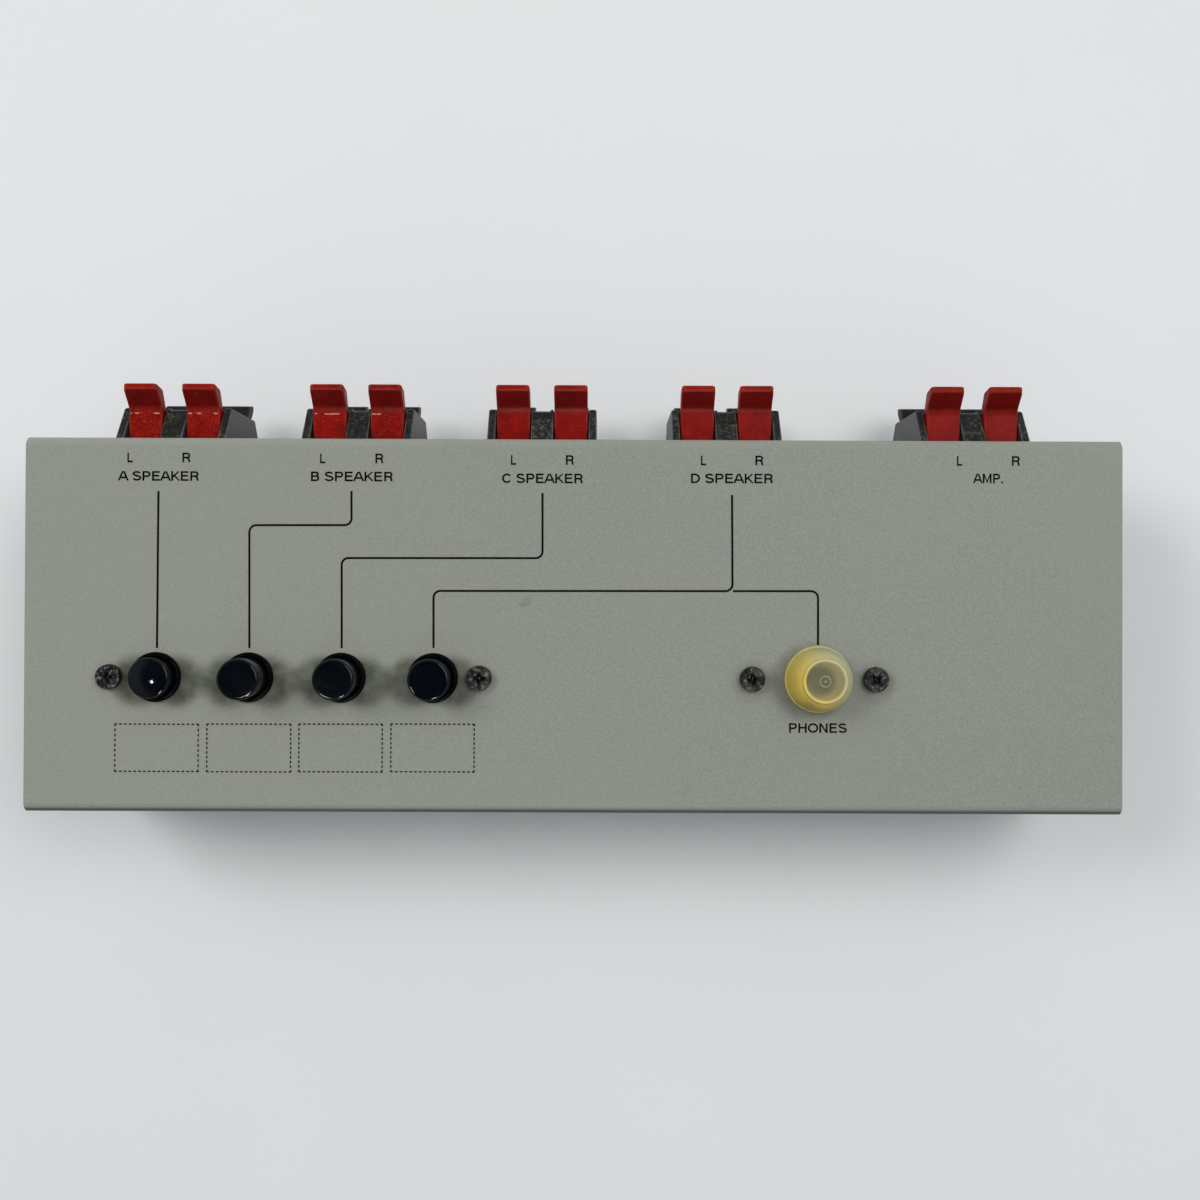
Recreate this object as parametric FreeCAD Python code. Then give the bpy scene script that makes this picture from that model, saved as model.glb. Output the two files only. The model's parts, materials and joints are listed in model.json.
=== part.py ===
# Speaker selector switch: a sheet-metal box lying on its feet with the panel on top.  The panel holds
# four latching push buttons and a headphone jack under a dust cap.  The rear wall holds five spring-lever
# terminal blocks, each with two red levers above and two black ones, mirrored, below.
#
# Millimetres.  +X runs to the right along the case, +Y to the rear, +Z out of the panel.  The origin is
# the centre of the underside of the whole part's box, lever tips included, so the feet stand on Z = 0.
import FreeCAD, Part
import math
import os

# ---- Case -------------------------------------------------------------------------------------------
CASE_LENGTH = 238.0
CASE_DEPTH = 81.5
CASE_HEIGHT = 43.0            # tray and cover together, without the feet
SHEET = 1.0
BEND_RADIUS = 2.2             # outside
FLANGE_WIDTH = 10.0           # the cover's flanges, folded in under the box
TRAY_BEND_RADIUS = 1.5
END_FLANGE = 8.0              # the end walls' stiffening flanges, folded in under the panel
END_FLANGE_INSET = 9.0        # how far those flanges stop short of the end wall's sides
SHEET_GAP = 0.2               # between tray and cover where they slide together
EDGE_GAP = 0.05               # between a round part and the hole it sits in
THREAD_GAP = 0.05             # stands for the thread's own play, radially

FOOT_HEIGHT = 3.0
FOOT_RADIUS = 6.0
FOOT_WEB = 1.2                # rubber left above the screw head
FOOT_FROM_END = 15.0
FOOT_FROM_WALL = 6.8

# ---- Screws -----------------------------------------------------------------------------------------
SCREW_RADIUS = 1.5
SCREW_HOLE_RADIUS = 1.7
SCREW_HEAD_RADIUS = 2.75
PANEL_SCREW_HEAD = 2.0        # heights of the pan heads
PANEL_SCREW_LENGTH = 6.0
FOOT_SCREW_HEAD = 1.5
FOOT_SCREW_LENGTH = 6.0
FOOT_RECESS_GAP = 0.45
TERMINAL_SCREW_HEAD = 1.8
TERMINAL_SCREW_LENGTH = 6.5

# ---- Button row -------------------------------------------------------------------------------------
ROW_FROM_FRONT = 29.4
FIRST_BUTTON_FROM_LEFT = 28.6
BUTTON_PITCH = 20.0
BUTTONS = ("a", "b", "c", "d")
LATCHED = "a"                 # the one that is pushed in
LATCH_DEPTH = 3.0
BUTTON_TRAVEL = 4.0
BUTTON_RADIUS = 4.4
BUTTON_RISE = 8.6             # top above the panel when released
BUTTON_SKIRT = 3.0            # bottom below the panel's top when released
BUTTON_EDGE = 0.6             # bevel round its top
BUTTON_WALL = 0.9
BUTTON_CAVITY = 8.0
BUTTON_BOSS = 4.6             # side of the square boss round the stem's socket
SOCKET_DEPTH = 7.0
BEZEL_RADIUS = 5.4
BEZEL_HEIGHT = 1.3
BEZEL_SLEEVE_RADIUS = 4.95
BEZEL_SLEEVE_REACH = 0.8      # below the panel's underside
BEZEL_GAP = 0.1               # running gap round the button

# ---- Switch bank ------------------------------------------------------------------------------------
BRACKET_SHEET = 1.2
BRACKET_DEPTH = 16.6
BRACKET_LIP = 4.0
BRACKET_EAR_REACH = 4.5       # past the screw
BANK_SCREW_OFFSET = 40.0      # from the middle of the bank
BANK_LEG_OFFSET = 37.4
PRESSED_GAP = 0.8             # button to bracket when pressed right in
SWITCH_WIDTH = 12.0
SWITCH_DEPTH = 14.0
SWITCH_WALL = 1.2
PEG_RADIUS = 0.8
PEG_OFFSET = 5.0
PEG_STAND = 0.4
STEM = 3.0
STEM_BORE = 3.6
STEM_FIT = 0.05
BRACKET_STEM_HOLE = 5.0
PLUNGER_PLAY = 0.2
PLUNGER_SIDE_GAP = 0.25
SPRING_SOLID = 2.0
SPRING_RADIUS = 3.4
SPRING_WIRE = 0.6
SPRING_COILS = 3
RUNS_PER_COIL = 10

# ---- Circuit board ----------------------------------------------------------------------------------
BOARD_THICKNESS = 1.6
BOARD_FROM_ENDS = 14.0
BOARD_FRONT_MARGIN = 9.5      # ahead of the button row
BOARD_CORNER = 2.0
BOARD_REAR_GAP = 0.6          # to the terminal blocks
BOARD_JACK_GAP = 0.8
RESISTOR_RADIUS = 2.2
RESISTOR_LENGTH = 12.0
RESISTOR_LEAD = 0.7
RESISTOR_LEAD_REACH = 2.6
RESISTOR_STAND = 0.8
RESISTOR_FROM_JACK = 26.0
RESISTOR_SPACING = 9.0

# ---- Headphone jack ---------------------------------------------------------------------------------
JACK_FROM_RIGHT = 66.0
JACK_SCREW_LEFT = 14.3
JACK_SCREW_RIGHT = 12.4
JACK_BORE_RADIUS = 3.25
JACK_BORE_LENGTH = 12.0
JACK_COLLAR_RADIUS = 5.7
JACK_COLLAR_HEIGHT = 3.0
JACK_WIDTH = 16.0
JACK_DEPTH = 17.0
JACK_DROP = 32.0              # from the panel's top to the body's underside
JACK_WALL = 1.8
JACK_HOLE_GAP = 0.2
JACK_PLATE_DEPTH = 14.0
JACK_PLATE_REACH = 4.2        # past the screws
JACK_TAB_LENGTH = 9.0
JACK_TAB_WIDTH = 9.0
JACK_TAB_GAP = 0.1
LEAF = 0.4                    # thickness of every spring contact
LEAF_WIDTH = 3.0
LEAF_STANDOFF = 0.8           # between a leaf and the jack's inner wall
LEAF_PLUG_RADIUS = 3.4        # where the leaves wait for the plug
LEAF_TAIL = 2.6
LEAF_RUN_TIP = 7.0            # how far the three leaves reach from their tails
LEAF_RUN_RING = 5.0
LEAF_RUN_SLEEVE = 8.5

# ---- Dust cap ---------------------------------------------------------------------------------------
CAP_FLANGE_RADIUS = 7.3
CAP_FLANGE = 0.8
CAP_BASE_RADIUS = 6.8
CAP_WAIST_HEIGHT = 4.2        # where its side starts to draw in
CAP_SHOULDER_RADIUS = 6.2
CAP_SHOULDER_HEIGHT = 6.85
CAP_TOP_RADIUS = 4.7
CAP_HEIGHT = 9.0
CAP_WALL = 1.0
CAP_FIT = 0.1
CAP_RIM = 0.5
CAP_DISH = 0.35

# ---- Terminal blocks --------------------------------------------------------------------------------
BLOCKS = ("a", "b", "c", "d", "amp")
FIRST_BLOCK_FROM_LEFT = 0.1206 * CASE_LENGTH     # the blocks spread out with the case
BLOCK_PITCH = 0.174 * CASE_LENGTH
AMP_FROM_RIGHT = 0.1244 * CASE_LENGTH
BLOCK_MID_DROP = 21.4         # panel top to the blocks' middle
BLOCK_WIDTH = 24.5
BLOCK_REACH = 8.3             # past the rear wall
BLOCK_NOSE = 8.9              # half height of the outer face
BLOCK_ROOT = 14.6             # half height at the rear wall
BLOCK_BACK = 14.0             # depth behind the rear wall's outer face
BLOCK_BACK_HALF = 12.0
BLOCK_EDGE = 0.5
BLOCK_FLANGE = 2.2
BLOCK_FLANGE_HALF_HEIGHT = 9.0
BLOCK_SCREW_GAP = 0.4         # between the block's side and the screws' heads
BLOCK_BOSS_HALF = 3.0         # half the side of the square bosses behind the flange
BLOCK_BOSS = 3.8
CUTOUT_GAP = 0.2
WEB_NOTCH = 0.6
WEB_NOTCH_WIDTH = 3.4
PORT = 3.2                    # side of the square wire entries
PORT_MOUTH = 4.2
PORT_FUNNEL = 1.0
PORT_CENTRE = 3.9             # above and below the middle
CHANNEL_FLOOR = 1.8           # above and below the middle

# ---- Levers -----------------------------------------------------------------------------------------
LEVER_PITCH = 12.95
LEVER_WIDTH = 7.5
LEVER_SIDE_GAP = 0.25
LEVER_REACH = 12.8            # tips past the rear wall
LEVER_TIP_HEIGHT = 15.3       # above the block's middle
LEVER_TIP = 1.25              # thickness at the tip
LEVER_TIP_CHAMFER = 0.5
PAD_HEIGHT = 11.6             # finger pad at the rear wall
PAD_ANGLE = 0.5
CURL_ANGLE = 43.0
CURL_RADIUS = 3.0
HEEL = (12.1, 11.2)           # outer corner of the curl: out from the wall, above the middle
HEEL_RADIUS = 1.6
LEVER_BELLY = 9.2             # underside over the housing's outer face
LEVER_THROAT = 8.6            # underside just outside the wall
NOSE_HEIGHT = 7.2             # the nose that works the contact
NOSE_FRONT = -0.2
NOSE_BACK = -2.0
PIVOT_BACK = 4.0              # behind the rear wall's outer face
PIVOT_HEIGHT = 9.0
HUB_RADIUS = 1.9
TRUNNION_RADIUS = 1.0
TRUNNION_LENGTH = 1.2
TRUNNION_GAP = 0.05
LEVER_SWEEP_GAP = 0.5         # round the hub, and under the pressed lever
LEVER_PRESS_ANGLE = 10.0
CONTACT_WIDTH = 5.0
CONTACT_TAIL = 2.2
CONTACT_WINDOW = 3.2

# ---- Places that follow from the sizes above ----------------------------------------------------------
PANEL = FOOT_HEIGHT + CASE_HEIGHT
UNDER_PANEL = PANEL - SHEET
REAR = (CASE_DEPTH - LEVER_REACH) / 2
FRONT = REAR - CASE_DEPTH
HALF_LENGTH = CASE_LENGTH / 2
ROW = FRONT + ROW_FROM_FRONT
BUTTON_X = {name: FIRST_BUTTON_FROM_LEFT - HALF_LENGTH + n * BUTTON_PITCH
            for n, name in enumerate(BUTTONS)}
BANK_X = sum(BUTTON_X.values()) / len(BUTTONS)
JACK_X = HALF_LENGTH - JACK_FROM_RIGHT
BLOCK_X = {name: FIRST_BLOCK_FROM_LEFT - HALF_LENGTH + n * BLOCK_PITCH
           for n, name in enumerate(BLOCKS)}
BLOCK_X["amp"] = HALF_LENGTH - AMP_FROM_RIGHT
BLOCK_MID = PANEL - BLOCK_MID_DROP
BOARD_TOP = BLOCK_MID + BOARD_THICKNESS / 2
BOARD_UNDER = BLOCK_MID - BOARD_THICKNESS / 2
BOARD_HALF = BOARD_THICKNESS / 2
PLATFORM_TOP = PANEL - BUTTON_SKIRT - BUTTON_TRAVEL - PRESSED_GAP
PLATFORM_UNDER = PLATFORM_TOP - BRACKET_SHEET
CAVITY_FLOOR = BOARD_TOP + SWITCH_WALL
CAVITY_CEILING = PLATFORM_UNDER - SWITCH_WALL
PLUNGER_HEAD = CAVITY_CEILING - CAVITY_FLOOR - BUTTON_TRAVEL - SPRING_SOLID - PLUNGER_PLAY
PANEL_SCREW_PLACES = [(BANK_X - BANK_SCREW_OFFSET, ROW), (BANK_X + BANK_SCREW_OFFSET, ROW),
                      (JACK_X - JACK_SCREW_LEFT, ROW), (JACK_X + JACK_SCREW_RIGHT, ROW)]
FOOT_PLACES = [(x, y) for x in (FOOT_FROM_END - HALF_LENGTH, HALF_LENGTH - FOOT_FROM_END)
               for y in (FRONT + FOOT_FROM_WALL, REAR - FOOT_FROM_WALL)]
LEVER_SIDES = {"left": -LEVER_PITCH / 2, "right": LEVER_PITCH / 2}
BLOCK_SCREW_OFFSET = BLOCK_WIDTH / 2 + BLOCK_SCREW_GAP + SCREW_HEAD_RADIUS
BLOCK_FLANGE_HALF_WIDTH = BLOCK_SCREW_OFFSET + BLOCK_BOSS_HALF
SLOT_WIDTH = LEVER_WIDTH + 2 * LEVER_SIDE_GAP
SLOT_BACK = -PIVOT_BACK - HUB_RADIUS - LEVER_SWEEP_GAP
SLOT_STEP = NOSE_FRONT + LEVER_SWEEP_GAP


def pressed_height(out, up):
    """Where a point of a lever's side view comes down to when the lever is pressed right in."""
    angle = math.radians(LEVER_PRESS_ANGLE)
    return PIVOT_HEIGHT + (up - PIVOT_HEIGHT) * math.cos(angle) - (out + PIVOT_BACK) * math.sin(angle)


SHELF = pressed_height(BLOCK_REACH, LEVER_BELLY) - LEVER_SWEEP_GAP
CONTACT_TOP = pressed_height(NOSE_FRONT, NOSE_HEIGHT) - LEVER_SWEEP_GAP


# ---- Helpers ----------------------------------------------------------------------------------------
def vec(x=0.0, y=0.0, z=0.0):
    return FreeCAD.Vector(x, y, z)


def box(x, y, z):
    """A box between the low and high ends given for each axis."""
    return Part.makeBox(x[1] - x[0], y[1] - y[0], z[1] - z[0], vec(x[0], y[0], z[0]))


def rod(radius, z, at):
    """An upright cylinder between two heights, over the point at."""
    return Part.makeCylinder(radius, z[1] - z[0], vec(at[0], at[1], z[0]))


def rod_along_x(radius, x, at):
    """A cylinder along X; at gives its y and z."""
    return Part.makeCylinder(radius, x[1] - x[0], vec(x[0], at[0], at[1]), vec(x=1))


def octagon(radius, middle):
    """The corners of an eight-sided outline, two of its sides level."""
    angles = [math.radians(45 * n + 22.5) for n in range(8)]
    return [(middle[0] + radius * math.cos(a), middle[1] + radius * math.sin(a)) for a in angles]


def prism_along_x(outline, x):
    """A YZ outline, extruded between two x."""
    corners = [vec(x[0], y, z) for y, z in outline]
    face = Part.Face(Part.makePolygon(corners + corners[:1]))
    return face.extrude(vec(x=x[1] - x[0]))


def prism_along_y(outline, y):
    """An XZ outline, extruded between two y."""
    corners = [vec(x, y[0], z) for x, z in outline]
    face = Part.Face(Part.makePolygon(corners + corners[:1]))
    return face.extrude(vec(y=y[1] - y[0]))


def prism_along_z(outline, z):
    """An XY outline, extruded between two heights."""
    corners = [vec(x, y, z[0]) for x, y in outline]
    face = Part.Face(Part.makePolygon(corners + corners[:1]))
    return face.extrude(vec(z=z[1] - z[0]))


def turned(outline, at):
    """An (r, z) outline, turned about the upright axis through the point at."""
    corners = [vec(at[0] + r, at[1], z) for r, z in outline]
    face = Part.Face(Part.makePolygon(corners + corners[:1]))
    return face.revolve(vec(at[0], at[1]), vec(z=1), 360)


def ribbon(path, thickness):
    """The outline of a strip of even thickness that follows a path of points, mitred at its bends."""
    half = thickness / 2
    sides = ([], [])
    for n, (a, b) in enumerate(path):
        before = path[max(n - 1, 0)]
        after = path[min(n + 1, len(path) - 1)]
        come = math.atan2(b - before[1], a - before[0]) if n else None
        go = math.atan2(after[1] - b, after[0] - a) if n < len(path) - 1 else come
        come = go if come is None else come
        turn = math.remainder(go - come, 2 * math.pi)
        across = come + turn / 2 + math.pi / 2
        reach = half / math.cos(turn / 2)
        for side, sign in zip(sides, (1, -1)):
            side.append((a + sign * reach * math.cos(across), b + sign * reach * math.sin(across)))
    return sides[0] + sides[1][::-1]


def mirrored(outline):
    """An outline closed by its own mirror image below the horizontal axis."""
    return outline + [(a, -b) for a, b in reversed(outline)]


def flipped(shape):
    """The shape's mirror image in the horizontal plane through the origin."""
    return shape.mirror(vec(), vec(z=1))


def edges_at(shape, direction, places):
    """The straight edges along a direction ('x', 'y' or 'z') that pass through any of the places."""
    axis = "xyz".index(direction)
    found = []
    for edge in shape.Edges:
        ends = [v.Point for v in edge.Vertexes]
        if len(ends) != 2 or edge.Curve.TypeId != "Part::GeomLine":
            continue
        run = ends[1] - ends[0]
        if any(abs(run[k]) > 1e-6 for k in range(3) if k != axis):
            continue
        across = [ends[0][k] for k in range(3) if k != axis]
        if any(max(abs(a - b) for a, b in zip(across, place)) < 1e-4 for place in places):
            found.append(edge)
    return found


def corners_of(first, second):
    """The four corner places of a rectangle, given its two ranges."""
    return [(a, b) for a in first for b in second]


def rounded_box(x, y, z, radius, direction="z"):
    """A box whose four edges along one direction are rounded."""
    across = {"x": (y, z), "y": (x, z), "z": (x, y)}[direction]
    plain = box(x, y, z)
    return plain.makeFillet(radius, edges_at(plain, direction, corners_of(*across)))


def cut_all(shape, tools):
    return shape.cut(Part.makeCompound(tools))


def fuse_all(shapes):
    return shapes[0].multiFuse(shapes[1:]).removeSplitter()


def save(node, *solids):
    """Write one node; separate solids go in together."""
    bodies = [solid for shape in solids for solid in shape.Solids]
    for body in bodies:
        if not body.isValid() or body.Volume <= 0:
            raise ValueError(f"{node} has a solid that is not sound")
    Part.makeCompound(bodies).exportStep(f"parts/{node}.step")


def screw_hole(radius, z, at):
    """An upright hole for a screw, eight-sided as the screws' shanks are, which keeps the mesh light."""
    return prism_along_z(octagon(radius, at), z)


# ---- Case -------------------------------------------------------------------------------------------
def top_cover():
    """The inverted U with flanges folded in at the bottom, and every opening in it."""
    low = FOOT_HEIGHT + SHEET
    ends = (-HALF_LENGTH, HALF_LENGTH)
    outside = rounded_box(ends, (FRONT, REAR), (low, PANEL), BEND_RADIUS, "x")
    inside = rounded_box(ends, (FRONT + SHEET, REAR - SHEET), (low + SHEET, UNDER_PANEL),
                         BEND_RADIUS - SHEET, "x")
    between_flanges = box(ends, (FRONT + FLANGE_WIDTH, REAR - FLANGE_WIDTH), (low - 1, low + 2 * SHEET))
    relief = TRAY_BEND_RADIUS + 2 * SHEET_GAP
    end_reliefs = [box(x, (FRONT + SHEET, REAR - SHEET), (low - 1, low + BEND_RADIUS))
                   for x in ((-HALF_LENGTH - 1, relief - HALF_LENGTH),
                             (HALF_LENGTH - relief, HALF_LENGTH + 1))]
    through_panel = (UNDER_PANEL - 1, PANEL + 1)
    holes = [rod(BEZEL_SLEEVE_RADIUS + EDGE_GAP, through_panel, (x, ROW)) for x in BUTTON_X.values()]
    holes += [screw_hole(SCREW_HOLE_RADIUS, through_panel, place) for place in PANEL_SCREW_PLACES]
    holes.append(rod(JACK_COLLAR_RADIUS + JACK_HOLE_GAP, through_panel, (JACK_X, ROW)))
    holes += [screw_hole(SCREW_RADIUS + THREAD_GAP, (low - 1, low + 2 * SHEET), place)
              for place in FOOT_PLACES]
    through_wall = (REAR - SHEET - 1, REAR + 1)
    for x in BLOCK_X.values():
        half_width = BLOCK_WIDTH / 2 + CUTOUT_GAP
        half_height = BLOCK_ROOT + CUTOUT_GAP
        holes.append(box((x - half_width, x + half_width), through_wall,
                         (BLOCK_MID - half_height, BLOCK_MID + half_height)))
        holes += [prism_along_y(octagon(SCREW_HOLE_RADIUS, (x + side * BLOCK_SCREW_OFFSET, BLOCK_MID)),
                                through_wall) for side in (-1, 1)]
    return cut_all(outside, [inside, between_flanges] + end_reliefs + holes)


def base_tray():
    """The bottom plate with both end walls folded up and their top flanges folded in."""
    end = HALF_LENGTH - SHEET_GAP
    wall_y = (FRONT + SHEET + SHEET_GAP, REAR - SHEET - SHEET_GAP)
    plate_y = (FRONT + BEND_RADIUS, REAR - BEND_RADIUS)
    wall_top = UNDER_PANEL - SHEET_GAP
    plate = box((-end, end), plate_y, (FOOT_HEIGHT, FOOT_HEIGHT + SHEET))
    flange_y = (wall_y[0] + END_FLANGE_INSET, wall_y[1] - END_FLANGE_INSET)
    pieces = [plate]
    for side in (-1, 1):
        wall_x = sorted((side * end, side * (end - SHEET)))
        wall = box(wall_x, wall_y, (FOOT_HEIGHT, wall_top))
        upper_corners = [(y, wall_top) for y in wall_y]
        pieces.append(wall.makeFillet(BEND_RADIUS, edges_at(wall, "x", upper_corners)))
        pieces.append(box(sorted((side * end, side * (end - END_FLANGE))), flange_y,
                          (wall_top - SHEET, wall_top)))
    tray = fuse_all(pieces)
    tray = tray.makeFillet(TRAY_BEND_RADIUS, edges_at(tray, "y", corners_of((-end, end), (FOOT_HEIGHT,))))
    return cut_all(tray, [screw_hole(SCREW_HOLE_RADIUS, (FOOT_HEIGHT - 1, FOOT_HEIGHT + SHEET + 1), place)
                          for place in FOOT_PLACES])


def rubber_foot(place):
    """A round foot with a recess for its screw's head."""
    recess = SCREW_HEAD_RADIUS + FOOT_RECESS_GAP
    recess_top = FOOT_HEIGHT - FOOT_WEB
    outline = [(0, recess_top), (recess, recess_top), (recess, 0), (FOOT_RADIUS, 0),
               (FOOT_RADIUS, FOOT_HEIGHT), (0, FOOT_HEIGHT)]
    return turned(outline, place).cut(screw_hole(SCREW_HOLE_RADIUS, (0, FOOT_HEIGHT + 1), place))


def pan_head_screw(head, length):
    """A screw under the origin's plane, its head standing on it; the shank stands for the thread."""
    shank = prism_along_z(octagon(SCREW_RADIUS, (0, 0)), (-length, 0))
    return rod(SCREW_HEAD_RADIUS, (0, head), (0, 0)).fuse(shank)


def placed(shape, place, axis=None, angle=0.0):
    """A copy of the shape, turned about an axis and moved to its place."""
    copy = shape.copy()
    if axis:
        copy.rotate(vec(), axis, angle)
    copy.translate(place)
    return copy


def foot_screws():
    screw = pan_head_screw(FOOT_SCREW_HEAD, FOOT_SCREW_LENGTH)
    seat = FOOT_HEIGHT - FOOT_WEB
    return [placed(screw, vec(x, y, seat), vec(x=1), 180) for x, y in FOOT_PLACES]


def panel_screws():
    screw = pan_head_screw(PANEL_SCREW_HEAD, PANEL_SCREW_LENGTH)
    return [placed(screw, vec(x, y, PANEL)) for x, y in PANEL_SCREW_PLACES]


def terminal_screws():
    screw = pan_head_screw(TERMINAL_SCREW_HEAD, TERMINAL_SCREW_LENGTH)
    return [placed(screw, vec(x + side * BLOCK_SCREW_OFFSET, REAR, BLOCK_MID), vec(x=1), -90)
            for x in BLOCK_X.values() for side in (-1, 1)]


# ---- Buttons and switches -----------------------------------------------------------------------------
def pushed_in(name):
    """How far a button and its plunger stand below their released place."""
    return LATCH_DEPTH if name == LATCHED else 0.0


def upright_square(name, side, z):
    """A square bar on a button's axis."""
    x = BUTTON_X[name]
    return box((x - side / 2, x + side / 2), (ROW - side / 2, ROW + side / 2), z)


def button(name):
    """A round cap with a bevelled top, hollow round a boss with a square socket for the stem."""
    top = PANEL + BUTTON_RISE - pushed_in(name)
    bottom = PANEL - BUTTON_SKIRT - pushed_in(name)
    ceiling = bottom + BUTTON_CAVITY
    outline = [(0, top), (BUTTON_RADIUS - BUTTON_EDGE, top), (BUTTON_RADIUS, top - BUTTON_EDGE),
               (BUTTON_RADIUS, bottom), (BUTTON_RADIUS - BUTTON_WALL, bottom),
               (BUTTON_RADIUS - BUTTON_WALL, ceiling), (0, ceiling)]
    cap = turned(outline, (BUTTON_X[name], ROW))
    boss = upright_square(name, BUTTON_BOSS, (bottom, ceiling))
    socket = upright_square(name, STEM + 2 * STEM_FIT, (bottom - 1, bottom + SOCKET_DEPTH))
    return fuse_all([cap, boss]).cut(socket)


def plunger(name):
    """The switch's slider: a head that rides in the housing and a square stem up into the button."""
    x = BUTTON_X[name]
    head_top = CAVITY_CEILING - PLUNGER_PLAY - pushed_in(name)
    stem_top = PANEL - BUTTON_SKIRT + SOCKET_DEPTH - STEM_FIT - pushed_in(name)
    half_x = SWITCH_WIDTH / 2 - SWITCH_WALL - PLUNGER_SIDE_GAP
    half_y = SWITCH_DEPTH / 2 - SWITCH_WALL - PLUNGER_SIDE_GAP
    head = box((x - half_x, x + half_x), (ROW - half_y, ROW + half_y), (head_top - PLUNGER_HEAD, head_top))
    return head.fuse(upright_square(name, STEM, (head_top, stem_top)))


def peg_places(name):
    """Where a switch's two pegs stand."""
    return [(BUTTON_X[name] + side * SWITCH_WIDTH / 4, ROW + side * PEG_OFFSET) for side in (-1, 1)]


def switch_housing(name):
    """A box on the board, hollow for the plunger, with two pegs through the bracket."""
    x = BUTTON_X[name]
    half_x, half_y = SWITCH_WIDTH / 2, SWITCH_DEPTH / 2
    shell = box((x - half_x, x + half_x), (ROW - half_y, ROW + half_y), (BOARD_TOP, PLATFORM_UNDER))
    pegs = [prism_along_z(octagon(PEG_RADIUS, place), (PLATFORM_UNDER, PLATFORM_TOP + PEG_STAND))
            for place in peg_places(name)]
    cavity = box((x - half_x + SWITCH_WALL, x + half_x - SWITCH_WALL),
                 (ROW - half_y + SWITCH_WALL, ROW + half_y - SWITCH_WALL), (CAVITY_FLOOR, CAVITY_CEILING))
    bore = upright_square(name, STEM_BORE, (CAVITY_FLOOR, PLATFORM_TOP))
    return cut_all(fuse_all([shell] + pegs), [cavity, bore])


def return_spring(name):
    """A square-wire coil from the housing's floor up to the plunger's head, in short straight runs."""
    top = CAVITY_CEILING - PLUNGER_PLAY - PLUNGER_HEAD - pushed_in(name)
    runs = SPRING_COILS * RUNS_PER_COIL
    rise = (top - CAVITY_FLOOR - SPRING_WIRE) / runs
    sections = []
    for n in range(runs + 1):
        angle = 2 * math.pi * n / RUNS_PER_COIL
        low = CAVITY_FLOOR + n * rise
        wire = [(SPRING_RADIUS, low), (SPRING_RADIUS, low + SPRING_WIRE),
                (SPRING_RADIUS - SPRING_WIRE, low + SPRING_WIRE), (SPRING_RADIUS - SPRING_WIRE, low)]
        corners = [vec(BUTTON_X[name] + r * math.cos(angle), ROW + r * math.sin(angle), z) for r, z in wire]
        sections.append(Part.makePolygon(corners + corners[:1]))
    return Part.makeLoft(sections, True, True)


def bezel(x):
    """The black ring round a button, with a sleeve down through the panel."""
    inner = BUTTON_RADIUS + BEZEL_GAP
    top = PANEL + BEZEL_HEIGHT
    outline = [(inner, top), (BEZEL_RADIUS, top), (BEZEL_RADIUS, PANEL), (BEZEL_SLEEVE_RADIUS, PANEL),
               (BEZEL_SLEEVE_RADIUS, UNDER_PANEL - BEZEL_SLEEVE_REACH),
               (inner, UNDER_PANEL - BEZEL_SLEEVE_REACH)]
    return turned(outline, (x, ROW))


def switch_bracket():
    """A strip with an ear under the panel at each end, a leg down and a platform for the switches."""
    ear_end = BANK_SCREW_OFFSET + BRACKET_EAR_REACH
    ear_mid = UNDER_PANEL - BRACKET_SHEET / 2
    platform_mid = PLATFORM_TOP - BRACKET_SHEET / 2
    path = [(-ear_end, ear_mid), (-BANK_LEG_OFFSET, ear_mid), (-BANK_LEG_OFFSET, platform_mid),
            (BANK_LEG_OFFSET, platform_mid), (BANK_LEG_OFFSET, ear_mid), (ear_end, ear_mid)]
    outline = [(BANK_X + x, z) for x, z in ribbon(path, BRACKET_SHEET)]
    strip = prism_along_y(outline, (ROW - BRACKET_DEPTH / 2, ROW + BRACKET_DEPTH / 2))
    lip_end = BANK_LEG_OFFSET - BRACKET_SHEET / 2
    lips = [box((BANK_X - lip_end, BANK_X + lip_end),
                sorted((ROW + side * BRACKET_DEPTH / 2, ROW + side * (BRACKET_DEPTH / 2 - BRACKET_SHEET))),
                (PLATFORM_TOP - BRACKET_LIP, PLATFORM_UNDER)) for side in (-1, 1)]
    hole = (PLATFORM_UNDER - 1, PLATFORM_TOP + 1)
    cuts = [upright_square(name, BRACKET_STEM_HOLE, hole) for name in BUTTONS]
    cuts += [prism_along_z(octagon(PEG_RADIUS + EDGE_GAP, place), hole)
             for name in BUTTONS for place in peg_places(name)]
    cuts += [screw_hole(SCREW_RADIUS + THREAD_GAP, (ear_mid - BRACKET_SHEET, ear_mid + BRACKET_SHEET), place)
             for place in PANEL_SCREW_PLACES[:2]]
    return cut_all(fuse_all([strip] + lips), cuts)


# ---- Board and headphone circuit ------------------------------------------------------------------------
def main_board():
    """The board at the terminals' middle height, notched round the jack."""
    x = (BOARD_FROM_ENDS - HALF_LENGTH, HALF_LENGTH - BOARD_FROM_ENDS)
    y = (ROW - BOARD_FRONT_MARGIN, REAR - BLOCK_BACK - BOARD_REAR_GAP)
    z = (BOARD_UNDER, BOARD_TOP)
    half = JACK_WIDTH / 2 + BOARD_JACK_GAP
    notch = rounded_box((JACK_X - half, JACK_X + half),
                        (y[0] - BOARD_CORNER, ROW + JACK_DEPTH / 2 + BOARD_JACK_GAP),
                        (z[0] - 1, z[1] + 1), BOARD_CORNER / 2)
    return rounded_box(x, y, z, BOARD_CORNER).cut(notch)


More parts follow.
